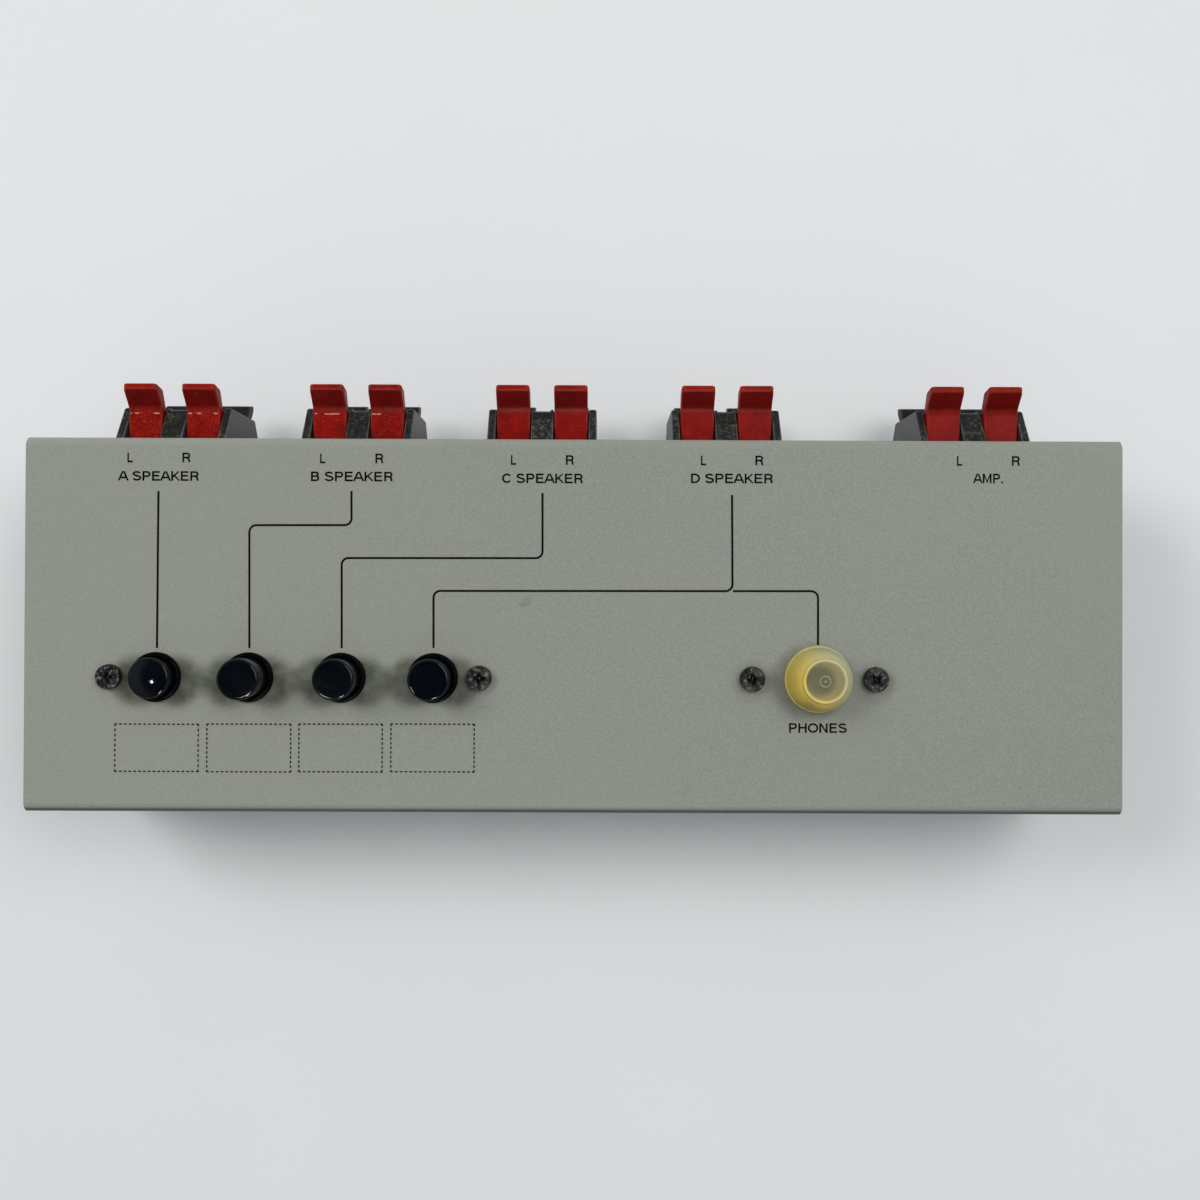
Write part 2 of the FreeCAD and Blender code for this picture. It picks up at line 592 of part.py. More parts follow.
def resistor(y):
    """A series resistor standing just off the board on two leads bent down to their pads."""
    x = JACK_X + RESISTOR_FROM_JACK
    z = BOARD_TOP + RESISTOR_STAND + RESISTOR_RADIUS
    half = RESISTOR_LENGTH / 2
    lead_end = half + RESISTOR_LEAD_REACH
    path = [(x - lead_end, BOARD_TOP), (x - lead_end, z), (x + lead_end, z), (x + lead_end, BOARD_TOP)]
    leads = prism_along_y(ribbon(path, RESISTOR_LEAD), (y - RESISTOR_LEAD / 2, y + RESISTOR_LEAD / 2))
    return fuse_all([rod_along_x(RESISTOR_RADIUS, (x - half, x + half), (y, z)), leads])


def jack_body():
    """The moulded socket: a collar through the panel, the plug's bore, and a chamber for the leaves."""
    at = (JACK_X, ROW)
    bottom = PANEL - JACK_DROP
    shoulder = UNDER_PANEL - BRACKET_SHEET
    top = PANEL + JACK_COLLAR_HEIGHT
    x = (JACK_X - JACK_WIDTH / 2, JACK_X + JACK_WIDTH / 2)
    y = (ROW - JACK_DEPTH / 2, ROW + JACK_DEPTH / 2)
    block = box(x, y, (bottom, shoulder))
    collar = rod(JACK_COLLAR_RADIUS, (shoulder, top), at)
    chamber_top = top - JACK_BORE_LENGTH
    chamber = box((x[0] + JACK_WALL, x[1] - JACK_WALL), (y[0] + JACK_WALL, y[1] - JACK_WALL),
                  (bottom + JACK_WALL, chamber_top))
    bore = rod(JACK_BORE_RADIUS, (chamber_top - 1, top + 1), at)
    slot_half = LEAF_WIDTH / 2 + THREAD_GAP
    slot_z = (BOARD_TOP - THREAD_GAP, BOARD_TOP + LEAF + THREAD_GAP)
    slots = [box((x[0] - 1, x[1] + 1), (ROW - slot_half, ROW + slot_half), slot_z),
             box((JACK_X - slot_half, JACK_X + slot_half), (ROW, y[1] + 1), slot_z)]
    return cut_all(fuse_all([block, collar]), [chamber, bore] + slots)


def jack_leaf(wall, run, direction):
    """A leaf contact that comes in from the +X side over the board and runs up or down beside the plug."""
    tail_z = BOARD_TOP + LEAF / 2
    upright = wall - JACK_WALL - LEAF_STANDOFF
    bump = LEAF_PLUG_RADIUS + LEAF / 2
    path = [(wall + BOARD_JACK_GAP + LEAF_TAIL, tail_z), (upright, tail_z),
            (upright, tail_z + direction * 0.45 * run), (bump, tail_z + direction * 0.75 * run),
            (bump + (upright - bump) / 2, tail_z + direction * run)]
    return prism_along_y(ribbon(path, LEAF), (-LEAF_WIDTH / 2, LEAF_WIDTH / 2))


def jack_contacts():
    """Three leaves, on the right, rear and left walls, for the plug's sleeve, ring and tip."""
    plans = ((0, JACK_WIDTH / 2, LEAF_RUN_SLEEVE, 1), (90, JACK_DEPTH / 2, LEAF_RUN_RING, -1),
             (180, JACK_WIDTH / 2, LEAF_RUN_TIP, -1))
    return [placed(jack_leaf(wall, run, direction), vec(JACK_X, ROW), vec(z=1), angle)
            for angle, wall, run, direction in plans]


def jack_bracket():
    """A plate under the panel, screwed to it, with two tabs down the jack's sides."""
    x = (JACK_X - JACK_SCREW_LEFT - JACK_PLATE_REACH, JACK_X + JACK_SCREW_RIGHT + JACK_PLATE_REACH)
    z = (UNDER_PANEL - BRACKET_SHEET, UNDER_PANEL)
    plate = box(x, (ROW - JACK_PLATE_DEPTH / 2, ROW + JACK_PLATE_DEPTH / 2), z)
    near = JACK_WIDTH / 2 + JACK_TAB_GAP
    tabs = [box(sorted((JACK_X + side * near, JACK_X + side * (near + BRACKET_SHEET))),
                (ROW - JACK_TAB_WIDTH / 2, ROW + JACK_TAB_WIDTH / 2), (z[0] - JACK_TAB_LENGTH, z[1]))
            for side in (-1, 1)]
    through = (z[0] - 1, z[1] + 1)
    holes = [screw_hole(SCREW_RADIUS + THREAD_GAP, through, place) for place in PANEL_SCREW_PLACES[2:]]
    holes.append(rod(JACK_COLLAR_RADIUS + THREAD_GAP, through, (JACK_X, ROW)))
    return cut_all(fuse_all([plate] + tabs), holes)


def dust_cap():
    """A hollow dome over the jack's collar, with a thin foot flange and a rim round its dished top."""
    inner = JACK_COLLAR_RADIUS + CAP_FIT
    collar_room = PANEL + JACK_COLLAR_HEIGHT + CAP_WALL
    flange = PANEL + CAP_FLANGE
    top = PANEL + CAP_HEIGHT
    dish = top - CAP_DISH
    roof = dish - CAP_WALL
    outline = [(0, roof), (CAP_TOP_RADIUS - CAP_WALL, roof), (CAP_TOP_RADIUS - CAP_WALL, collar_room),
               (inner, collar_room), (inner, PANEL), (CAP_FLANGE_RADIUS, PANEL), (CAP_FLANGE_RADIUS, flange),
               (CAP_BASE_RADIUS, flange), (CAP_BASE_RADIUS, PANEL + CAP_WAIST_HEIGHT),
               (CAP_SHOULDER_RADIUS, PANEL + CAP_SHOULDER_HEIGHT),
               (CAP_TOP_RADIUS, top - CAP_RIM), (CAP_TOP_RADIUS, top), (CAP_TOP_RADIUS - CAP_RIM, top),
               (CAP_TOP_RADIUS - CAP_RIM, dish), (0, dish)]
    return turned(outline, (JACK_X, ROW))


# ---- Terminal blocks --------------------------------------------------------------------------------
# These are drawn about their own middle: x across, y out from the rear wall, z above the block's middle.
def lever_slot(x):
    """The slot that a lever works in: a deep channel behind the wall and a shelf in front of it.

    The lever's trunnions drop into open slots at its sides, and the wall's cut-out keeps them down there.
    """
    outline = [(SLOT_BACK, BLOCK_ROOT + 1), (SLOT_BACK, CHANNEL_FLOOR), (SLOT_STEP, CHANNEL_FLOOR),
               (SLOT_STEP, SHELF), (BLOCK_REACH + 1, SHELF), (BLOCK_REACH + 1, BLOCK_ROOT + 1)]
    slot = prism_along_x(outline, (x - SLOT_WIDTH / 2, x + SLOT_WIDTH / 2))
    pin = SLOT_WIDTH / 2 + TRUNNION_LENGTH
    reach = TRUNNION_RADIUS + TRUNNION_GAP
    return slot.fuse(box((x - pin, x + pin), (-PIVOT_BACK - reach, -PIVOT_BACK + reach),
                         (PIVOT_HEIGHT - reach, BLOCK_ROOT + 1)))


def wire_port(x):
    """The square wire entry with its funnel, through to the lever's channel, and the contact's slit."""
    half = PORT / 2
    run = box((x - half, x + half), (SLOT_STEP - 1, BLOCK_REACH), (PORT_CENTRE - half, PORT_CENTRE + half))
    mouth = PORT_MOUTH / 2
    funnel = Part.makeWedge(x - half, BLOCK_REACH - PORT_FUNNEL, PORT_CENTRE - half,
                            PORT_CENTRE - mouth, x - mouth,
                            x + half, BLOCK_REACH, PORT_CENTRE + half,
                            PORT_CENTRE + mouth, x + mouth)
    slit_half = CONTACT_WIDTH / 2 + THREAD_GAP
    slit = box((x - slit_half, x + slit_half), (-BLOCK_BACK - 1, SLOT_BACK + 1),
               (CHANNEL_FLOOR, CHANNEL_FLOOR + LEAF + THREAD_GAP))
    return [run, funnel, slit]


def terminal_housing():
    """The moulded block: sloped nose, flange and screw bosses behind the wall, four lever slots."""
    flange_back = -SHEET - BLOCK_FLANGE
    outline = mirrored([(-BLOCK_BACK, BLOCK_BACK_HALF), (flange_back, BLOCK_BACK_HALF),
                        (flange_back, BLOCK_ROOT), (0, BLOCK_ROOT), (BLOCK_REACH, BLOCK_NOSE)])
    half = BLOCK_WIDTH / 2
    block = prism_along_x(outline, (-half, half))
    block = block.makeFillet(BLOCK_EDGE, edges_at(block, "z", corners_of((-half, half), (BLOCK_REACH,))))
    wide, high = BLOCK_FLANGE_HALF_WIDTH, BLOCK_FLANGE_HALF_HEIGHT
    flange = box((-wide, wide), (flange_back, -SHEET), (-high, high))
    screws = (-BLOCK_SCREW_OFFSET, BLOCK_SCREW_OFFSET)
    bosses = [box((x - BLOCK_BOSS_HALF, x + BLOCK_BOSS_HALF), (flange_back - BLOCK_BOSS, flange_back),
                  (-BLOCK_BOSS_HALF, BLOCK_BOSS_HALF)) for x in screws]
    cuts = [prism_along_y(octagon(SCREW_RADIUS + THREAD_GAP, (x, 0)), (-BLOCK_BACK, 0)) for x in screws]
    for x in LEVER_SIDES.values():
        upper = [lever_slot(x)] + wire_port(x)
        cuts += upper + [flipped(shape) for shape in upper]
    notch = box((-WEB_NOTCH_WIDTH / 2, WEB_NOTCH_WIDTH / 2), (BLOCK_REACH - WEB_NOTCH, BLOCK_REACH + 1),
                (SHELF, BLOCK_ROOT))
    cuts += [notch, flipped(notch)]
    return cut_all(fuse_all([block, flange] + bosses), cuts)


def lever_outline():
    """The lever's side view: finger pad, curled tip, belly, and the nose behind the wall."""
    rise, lean = math.tan(math.radians(PAD_ANGLE)), math.tan(math.radians(CURL_ANGLE))
    inner_tip = (LEVER_REACH - LEVER_TIP, LEVER_TIP_HEIGHT)
    bend_out = (PAD_HEIGHT - inner_tip[1] + lean * inner_tip[0]) / (lean - rise)
    bend = (bend_out, PAD_HEIGHT + rise * bend_out)
    pad_back = (-PIVOT_BACK, PAD_HEIGHT - rise * PIVOT_BACK)
    outline = [pad_back, bend, inner_tip, (LEVER_REACH, LEVER_TIP_HEIGHT), HEEL,
               (BLOCK_REACH, LEVER_BELLY), (-NOSE_FRONT, LEVER_THROAT), (NOSE_FRONT, NOSE_HEIGHT),
               (NOSE_BACK, NOSE_HEIGHT), (-PIVOT_BACK, PIVOT_HEIGHT - HUB_RADIUS)]
    return outline, bend


def lever():
    """A lever as the red ones lie: pad up, tip curled up, hub and two trunnions behind the wall."""
    half = LEVER_WIDTH / 2
    outline, bend = lever_outline()
    arm = prism_along_x(outline, (-half, half))
    arm = arm.makeFillet(CURL_RADIUS, edges_at(arm, "x", [bend]))
    arm = arm.makeFillet(HEEL_RADIUS, edges_at(arm, "x", [HEEL]))
    tip_corners = corners_of((-half, half), (LEVER_TIP_HEIGHT,))
    arm = arm.makeChamfer(LEVER_TIP_CHAMFER, edges_at(arm, "y", tip_corners))
    pivot = (-PIVOT_BACK, PIVOT_HEIGHT)
    hub = rod_along_x(HUB_RADIUS, (-half, half), pivot)
    pin = half + LEVER_SIDE_GAP + TRUNNION_LENGTH - TRUNNION_GAP
    return fuse_all([arm, hub, prism_along_x(octagon(TRUNNION_RADIUS, pivot), (-pin, pin))])


def terminal_contact():
    """A strip from its tail on the board, along the channel's floor, back over itself to a clamp window."""
    low = CHANNEL_FLOOR + LEAF / 2
    back = SLOT_BACK + LEVER_SWEEP_GAP / 2 + LEAF / 2
    joggle = -BLOCK_BACK - BOARD_REAR_GAP / 2 - LEAF / 2
    window_face = SLOT_STEP - LEAF - THREAD_GAP
    tail_end = joggle - BOARD_REAR_GAP - CONTACT_TAIL
    base = [(tail_end, BOARD_HALF + LEAF / 2), (joggle, BOARD_HALF + LEAF / 2), (joggle, low),
            (window_face - 2 * LEAF, low)]
    arm = [(back + LEAF, low), (back, low + LEAF), (back, CONTACT_TOP - LEAF / 2),
           (window_face, CONTACT_TOP - LEAF / 2), (window_face, CHANNEL_FLOOR + 2 * LEAF)]
    across = (-CONTACT_WIDTH / 2, CONTACT_WIDTH / 2)
    strip = fuse_all([prism_along_x(ribbon(path, LEAF), across) for path in (base, arm)])
    half = CONTACT_WINDOW / 2
    window = box((-half, half), (window_face - LEAF, window_face + LEAF),
                 (PORT_CENTRE - LEAF, CONTACT_TOP - 2 * LEAF))
    return strip.cut(window)


def in_block(shape, block, side, upper=True):
    """The upper or mirrored lower copy of a lever or contact, in its slot of a block."""
    own = shape if upper else flipped(shape)
    return placed(own, vec(BLOCK_X[block] + LEVER_SIDES[side], REAR, BLOCK_MID))


# ---- The whole part -----------------------------------------------------------------------------------
def build_case():
    save("top_cover", top_cover())
    save("base_tray", base_tray())
    save("rubber_feet", *[rubber_foot(place) for place in FOOT_PLACES])
    save("foot_screws", *foot_screws())
    save("panel_screws", *panel_screws())
    save("terminal_screws", *terminal_screws())


def build_switches():
    save("switch_bracket", switch_bracket())
    save("button_bezels", *[bezel(x) for x in BUTTON_X.values()])
    for name in BUTTONS:
        save(f"button_{name}", button(name))
        save(f"plunger_{name}", plunger(name))
        save(f"switch_housing_{name}", switch_housing(name))
        save(f"return_spring_{name}", return_spring(name))


def build_board_and_jack():
    save("main_board", main_board())
    save("phones_resistors", *[resistor(ROW + n * RESISTOR_SPACING) for n in (0, 1)])
    save("jack_body", jack_body())
    save("jack_contacts", *jack_contacts())
    save("jack_bracket", jack_bracket())
    save("dust_cap", dust_cap())


def build_terminals():
    housing, spring_lever, contact = terminal_housing(), lever(), terminal_contact()
    rows = {"red": True, "black": False}
    for block, x in BLOCK_X.items():
        save(f"terminal_housing_{block}", placed(housing, vec(x, REAR, BLOCK_MID)))
        save(f"contacts_{block}", *[in_block(contact, block, side, upper)
                                    for side in LEVER_SIDES for upper in rows.values()])
        for side in LEVER_SIDES:
            for colour, upper in rows.items():
                save(f"lever_{block}_{side}_{colour}", in_block(spring_lever, block, side, upper))


os.makedirs("parts", exist_ok=True)
build_case()
build_switches()
build_board_and_jack()
build_terminals()
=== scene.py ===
import json
import math

import bmesh
import bpy
from mathutils import Matrix, Vector


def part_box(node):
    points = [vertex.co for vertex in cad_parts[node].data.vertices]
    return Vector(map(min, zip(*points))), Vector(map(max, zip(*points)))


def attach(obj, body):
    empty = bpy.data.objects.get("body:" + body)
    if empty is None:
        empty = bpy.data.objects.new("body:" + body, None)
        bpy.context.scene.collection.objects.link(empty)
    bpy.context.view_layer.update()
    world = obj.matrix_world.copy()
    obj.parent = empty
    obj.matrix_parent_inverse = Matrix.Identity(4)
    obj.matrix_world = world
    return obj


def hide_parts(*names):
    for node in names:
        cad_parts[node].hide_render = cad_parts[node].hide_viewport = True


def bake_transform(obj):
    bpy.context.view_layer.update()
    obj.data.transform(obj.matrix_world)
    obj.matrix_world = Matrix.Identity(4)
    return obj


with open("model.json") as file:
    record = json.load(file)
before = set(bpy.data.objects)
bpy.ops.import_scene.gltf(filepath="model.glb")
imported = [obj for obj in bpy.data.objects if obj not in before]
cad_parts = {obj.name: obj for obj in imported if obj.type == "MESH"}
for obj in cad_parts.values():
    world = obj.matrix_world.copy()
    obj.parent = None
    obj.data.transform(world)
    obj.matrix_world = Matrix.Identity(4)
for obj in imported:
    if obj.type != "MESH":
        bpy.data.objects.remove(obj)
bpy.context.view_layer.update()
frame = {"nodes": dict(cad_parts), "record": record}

# Lengths are in millimetres until they become vertices.
MM = 0.001
nodes = frame["nodes"]
SLOT_OF = {row["node"]: row["material_slot"] for row in frame["record"]["subparts"]}
BODY_OF = {node: body for body, members in frame["record"]["behaviour"]["bodies"].items()
           for node in members}


def box_of(node):
    """The low and high corner of a CAD node, in mm."""
    low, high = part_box(node)
    return low / MM, high / MM


def middle_of(node):
    """The middle of a CAD node's box, in mm."""
    low, high = box_of(node)
    return (low + high) / 2


# ---- Places --------------------------------------------------------------------------------------
case_low, case_high = box_of("top_cover")
PANEL = case_high.z
REAR = case_high.y
FRONT = case_low.y
END = case_high.x
BUTTONS = {name: middle_of(f"button_{name}") for name in "abcd"}
ROW = BUTTONS["a"].y
JACK_X = middle_of("dust_cap").x
BANK_X = sum(spot.x for spot in BUTTONS.values()) / len(BUTTONS)
BLOCKS = ("a", "b", "c", "d", "amp")
BLOCK_X = {name: middle_of(f"terminal_housing_{name}").x for name in BLOCKS}
BLOCK_MID = middle_of("terminal_housing_a").z
# The screws' places: from the bank's middle, the jack's middle, a block's middle and the case's sides.
BANK_SCREW_OFFSET = 40.0
JACK_SCREWS = (-14.3, 12.4)
TERMINAL_SCREW_OFFSET = 15.4
FOOT_INSET_X = 15.0
FOOT_INSET_Y = 6.8
FOOT_X = END - FOOT_INSET_X
FOOT_Y = (FRONT + FOOT_INSET_Y, REAR - FOOT_INSET_Y)
# How high above the table the heads of the foot screws are seated.
FOOT_SEAT = 1.8

# ---- Camera --------------------------------------------------------------------------------------
CAMERA_SPOT = Vector((5.31, -2.57, 305.48))
CAMERA_TURN = [math.radians(angle) for angle in (0.405, -0.079, 0.222)]
FOCAL_PIXELS = 1196.7
FRAME_PIXELS = 1200
SENSOR = 36.0

lens = bpy.data.cameras.new("camera")
lens.sensor_width = SENSOR
lens.lens = SENSOR * FOCAL_PIXELS / FRAME_PIXELS
lens.clip_start = 0.01
camera = bpy.data.objects.new("camera", lens)
bpy.context.scene.collection.objects.link(camera)
turn = (Matrix.Rotation(CAMERA_TURN[2], 4, "Z") @ Matrix.Rotation(CAMERA_TURN[1], 4, "Y")
        @ Matrix.Rotation(CAMERA_TURN[0], 4, "X"))
camera.matrix_world = Matrix.Translation(CAMERA_SPOT * MM) @ turn
bpy.context.scene.camera = camera
bpy.context.scene.view_settings.view_transform = "Standard"


# ---- Node trees ----------------------------------------------------------------------------------
class Wire:
    """An output socket. Arithmetic on it adds Math nodes to its tree."""

    def __init__(self, graph, made, out):
        self.graph = graph
        self.made = made
        self.socket = made.outputs[out]

    def out(self, name):
        """Another output of the same node."""
        return Wire(self.graph, self.made, name)

    def math(self, operation, first, second):
        return self.graph.node("ShaderNodeMath", {"operation": operation}, {0: first, 1: second})

    def __add__(self, other):
        return self.math("ADD", self, other)

    def __radd__(self, other):
        return self.math("ADD", other, self)

    def __sub__(self, other):
        return self.math("SUBTRACT", self, other)

    def __rsub__(self, other):
        return self.math("SUBTRACT", other, self)

    def __mul__(self, other):
        return self.math("MULTIPLY", self, other)

    def __rmul__(self, other):
        return self.math("MULTIPLY", other, self)


class Graph:
    """A node tree that is filled by one method."""

    def __init__(self, tree):
        self.tree = tree

    def node(self, kind, settings=None, links=None, out=0):
        """A node's output; its settings are set first, then the values or links of its sockets."""
        made = self.tree.nodes.new(kind)
        for name, value in (settings or {}).items():
            setattr(made, name, value)
        for name, value in (links or {}).items():
            if isinstance(value, Wire):
                self.tree.links.new(value.socket, made.inputs[name])
            else:
                made.inputs[name].default_value = value
        return Wire(self, made, out) if made.outputs else None

    def smooth(self, value, low, high, start=0.0, end=1.0):
        """From start at low to end at high, with a soft step between; low may be the larger."""
        return self.node("ShaderNodeMapRange", {"interpolation_type": "SMOOTHSTEP"},
                         {"Value": value, "From Min": low, "From Max": high,
                          "To Min": start, "To Max": end})


def paint(red, green, blue):
    """A colour from 0 to 255 as a paint chart gives it, made linear."""
    def linear(value):
        value /= 255
        return value / 12.92 if value <= 0.04045 else ((value + 0.055) / 1.055) ** 2.4
    return (linear(red), linear(green), linear(blue), 1.0)


class Finish(Graph):
    """A material, with its coordinates in mm and the patterns that the finishes share."""

    def __init__(self, name):
        self.material = bpy.data.materials.new(name)
        self.material.use_nodes = True
        super().__init__(self.material.node_tree)
        self.tree.nodes.clear()
        coordinates = self.node("ShaderNodeTexCoord", out="Object")
        self.place = self.node("ShaderNodeVectorMath", {"operation": "SCALE"},
                               {0: coordinates, "Scale": 1 / MM})
        x = self.node("ShaderNodeSeparateXYZ", links={0: self.place}, out="X")
        self.x, self.y, self.z = x, x.out("Y"), x.out("Z")
        facing = self.node("ShaderNodeSeparateXYZ", links={0: coordinates.out("Normal")}, out="Z")
        self.upward = self.smooth(facing, 0.2, 0.9)
        self.downward = self.smooth(facing, -0.3, -0.9)
        self.forward = self.smooth(facing.out("Y"), -0.15, -0.75)

    def noise(self, size, detail=3.0, stretch=None, roughness=0.55):
        """Cloudy noise from 0 to 1 with lumps of that size in mm."""
        place = self.place
        if stretch:
            place = self.node("ShaderNodeVectorMath", {"operation": "MULTIPLY"}, {0: place, 1: stretch})
        return self.node("ShaderNodeTexNoise", None,
                         {"Vector": place, "Scale": 1 / size, "Detail": detail, "Roughness": roughness})

    def attribute(self, name):
        """A mark from 0 to 1 that a piece carries on its faces."""
        return self.node("ShaderNodeAttribute", {"attribute_name": name}, out="Fac")

    def tint(self, factor, first, second):
        """From the first colour to the second."""
        return self.node("ShaderNodeMix", {"data_type": "RGBA"}, {0: factor, 6: first, 7: second}, out=2)

    def near(self, spot, radius, softness):
        """1 within a radius of an upright line through a spot, fading out over softness."""
        flat = self.node("ShaderNodeCombineXYZ", links={"X": self.x, "Y": self.y, "Z": 0.0})
        reach = self.node("ShaderNodeVectorMath", {"operation": "DISTANCE"},
                          {0: flat, 1: (spot[0], spot[1], 0.0)}, out="Value")
        return self.smooth(reach, radius + softness, radius)

    def relief(self, height, depth, under=None):
        """A bump whose height from 0 to 1 stands for a depth in mm."""
        links = {"Strength": 1.0, "Distance": depth * MM, "Height": height}
        if under is not None:
            links["Normal"] = under
        return self.node("ShaderNodeBump", None, links)

    def done(self, **sockets):
        """The shader; an underscore in a name stands for a space."""
        links = {name.replace("_", " "): value for name, value in sockets.items()}
        shader = self.node("ShaderNodeBsdfPrincipled", None, links)
        self.node("ShaderNodeOutputMaterial", None, {"Surface": shader})
        return self.material


# ---- Finishes ------------------------------------------------------------------------------------
def grime_and_painted_shade(f):
    """Finger grime and painted shade, from 0 to 1: beside the buttons and round the jack's screws and cap,
    where they would shade the panel.
    """
    halo = 0.0
    for spot in BUTTONS.values():
        for side in (4.6, -4.6):
            halo = f.near((spot.x + side, ROW - 0.9), 2.6, 5.2) + halo
    for offset in JACK_SCREWS:
        halo = f.near((JACK_X + offset, ROW - 0.8), 3.2, 4.0) * 0.3 + halo
    halo = f.near((JACK_X - 1.6, ROW - 0.6), 7.0, 3.4) * 0.5 + halo
    patchy = f.smooth(f.noise(3.2, 4.0), 0.25, 0.7)
    return f.smooth(halo, 0.05, 1.0) * (0.6 + 0.4 * patchy) * f.upward


def grey_paint():
    """Fine-grained grey-green enamel on sheet steel."""
    f = Finish("grey_paint")
    grain = f.noise(0.3, 2.0)
    cloud = f.noise(34.0, 2.0)
    base = f.tint(f.smooth(grain, 0.3, 0.7), paint(131, 135, 126), paint(147, 151, 142))
    base = f.tint(f.smooth(cloud, 0.35, 0.7) * 0.3, base, paint(144, 145, 132))
    # A painted sheen: the panel is painted lighter towards the left.
    base = f.tint(f.smooth(f.x, 40.0, -120.0) * 0.25, base, paint(158, 159, 148))
    grime_and_shade = grime_and_painted_shade(f)
    # Grime and painted shade darken the panel beside the buttons and round the jack's screws and cap.
    base = f.tint(grime_and_shade * 0.95, base, paint(70, 74, 58))
    # Painted shade: the front bend, which turns away from the light, is painted dark.
    bend = f.smooth(f.y, FRONT + 1.3, FRONT + 0.5) * f.smooth(f.z, PANEL - 2.4, PANEL - 1.0)
    base = f.tint(bend * 0.85, base, paint(58, 66, 62))
    smudge = f.near((-10.6, -1.45), 0.5, 1.4) * f.smooth(f.noise(1.1, 3.0), 0.35, 0.6)
    base = f.tint(smudge * 0.7, base, paint(116, 119, 116))
    chip = f.attribute("edge") * f.smooth(f.noise(1.6, 5.0), 0.56, 0.68)
    base = f.tint(chip * 0.55, base, paint(176, 179, 172))
    rough = 0.46 + 0.1 * grain + 0.1 * grime_and_shade
    peel = f.relief(f.noise(0.7, 2.0), 0.012)
    return f.done(Base_Color=base, Roughness=rough, Normal=peel, Specular_IOR_Level=0.22)


def moulded_black():
    """Dusty black phenolic of the terminal blocks, glossier on its cheeks, with a painted sheen on the
    cheeks and painted highlights on its rounded edges.
    """
    f = Finish("moulded_black")
    mottle = f.noise(0.7, 4.0)
    across = f.node("ShaderNodeSeparateXYZ",
                    links={0: f.node("ShaderNodeTexCoord", out="Normal")}, out="X")
    cheek = f.smooth(across * across, 0.5, 0.9)
    base = f.tint(f.smooth(mottle, 0.35, 0.75), paint(12, 13, 14), paint(32, 33, 32))
    dust = f.smooth(f.noise(0.8, 5.0, roughness=0.75), 0.48, 0.62) * (1 - cheek)
    base = f.tint(dust * f.smooth(f.noise(5.0, 3.0), 0.3, 0.65) * 0.6, base, paint(104, 105, 94))
    # A painted sheen: the cheeks are painted lighter grey.
    base = f.tint(cheek * (0.35 + 0.4 * f.noise(3.0)), base, paint(70, 72, 74))
    # A painted highlight along the rounded edges.
    base = f.tint(f.attribute("edge") * f.noise(1.5) * 0.8, base, paint(118, 120, 120))
    rough = 0.66 - 0.26 * cheek + 0.15 * dust
    return f.done(Base_Color=base, Roughness=rough, Normal=f.relief(mottle, 0.03), Specular_IOR_Level=0.25)


# The levers' pads bend up this far behind the rear edge, and nicks gather along the bend.
PAD_BEND = 6.65


def lever_plastic(name, dark, light, dusty, streak, painted_front_shade):
    """Moulded lever plastic with fine crosswise scratches on the pad, dust in its grain, and painted shade
    on faces turned to the front.
    """
    f = Finish(name)
    cloud = f.noise(3.5, 3.0)
    base = f.tint(f.smooth(cloud, 0.3, 0.7), dark, light)
    scratches = f.noise(0.5, 3.0, stretch=(0.22, 2.2, 1.4))
    scratched = f.smooth(scratches, 0.6, 0.72) * f.smooth(f.noise(2.2, 2.0), 0.42, 0.62)
    base = f.tint(scratched * 0.35, base, streak)
    dust = f.smooth(f.noise(0.4, 4.0), 0.5, 0.75) * f.upward
    base = f.tint(dust * (0.14 + 0.3 * f.smooth(f.x, 0.0, -80.0)), base, dusty)
    base = f.tint(f.attribute("edge") * 0.12, base, streak)
    off = f.y - (REAR + PAD_BEND)
    nick = f.smooth(off * off, 0.03, 0.01) * f.smooth(f.noise(1.6, 2.0), 0.48, 0.58)
    nick = nick * f.smooth(f.x, -20.0, -50.0) * f.smooth(f.z, BLOCK_MID, BLOCK_MID + 2.0) * f.upward
    base = f.tint(nick * 0.7, base, paint(228, 168, 142))
    # Painted shade: faces turned to the front are painted darker.
    base = f.tint(f.forward * 0.5, base, painted_front_shade)
    rough = 0.4 + 0.2 * scratched + 0.2 * dust
    normal = f.relief(scratches, 0.012, under=f.relief(f.noise(0.9, 2.0), 0.01))
    return f.done(Base_Color=base, Roughness=rough, Normal=normal, Specular_IOR_Level=0.08,
                  Subsurface_Weight=0.06, Subsurface_Scale=0.5 * MM)


def glossy_black():
    """Polished near-black of the push buttons, with hairline wear and a little lint."""
    f = Finish("glossy_black")
    hair = f.noise(0.35, 4.0, stretch=(1.0, 0.3, 1.0))
    lint = f.smooth(f.noise(0.6, 5.0), 0.68, 0.78)
    base = f.tint(f.smooth(f.noise(5.0), 0.3, 0.7), paint(4, 7, 13), paint(8, 11, 17))
    base = f.tint(lint * 0.12, base, paint(92, 94, 98))
    rough = 0.05 + 0.03 * f.smooth(hair, 0.5, 0.7) + 0.2 * lint + 0.09 * (1 - f.upward)
    return f.done(Base_Color=base, Roughness=rough, Normal=f.relief(hair, 0.001),
                  Specular_IOR_Level=0.25)


def bezel_black():
    """Satin black of the button rings, dusty in the groove."""
    f = Finish("bezel_black")
    dust = f.smooth(f.noise(0.5, 4.0), 0.5, 0.8) * f.upward
    base = f.tint(dust * 0.08, paint(4, 5, 7), paint(96, 95, 90))
    rough = 0.3 + 0.3 * dust
    return f.done(Base_Color=base, Roughness=rough, Normal=f.relief(f.noise(0.8, 3.0), 0.004),
                  Specular_IOR_Level=0.03)


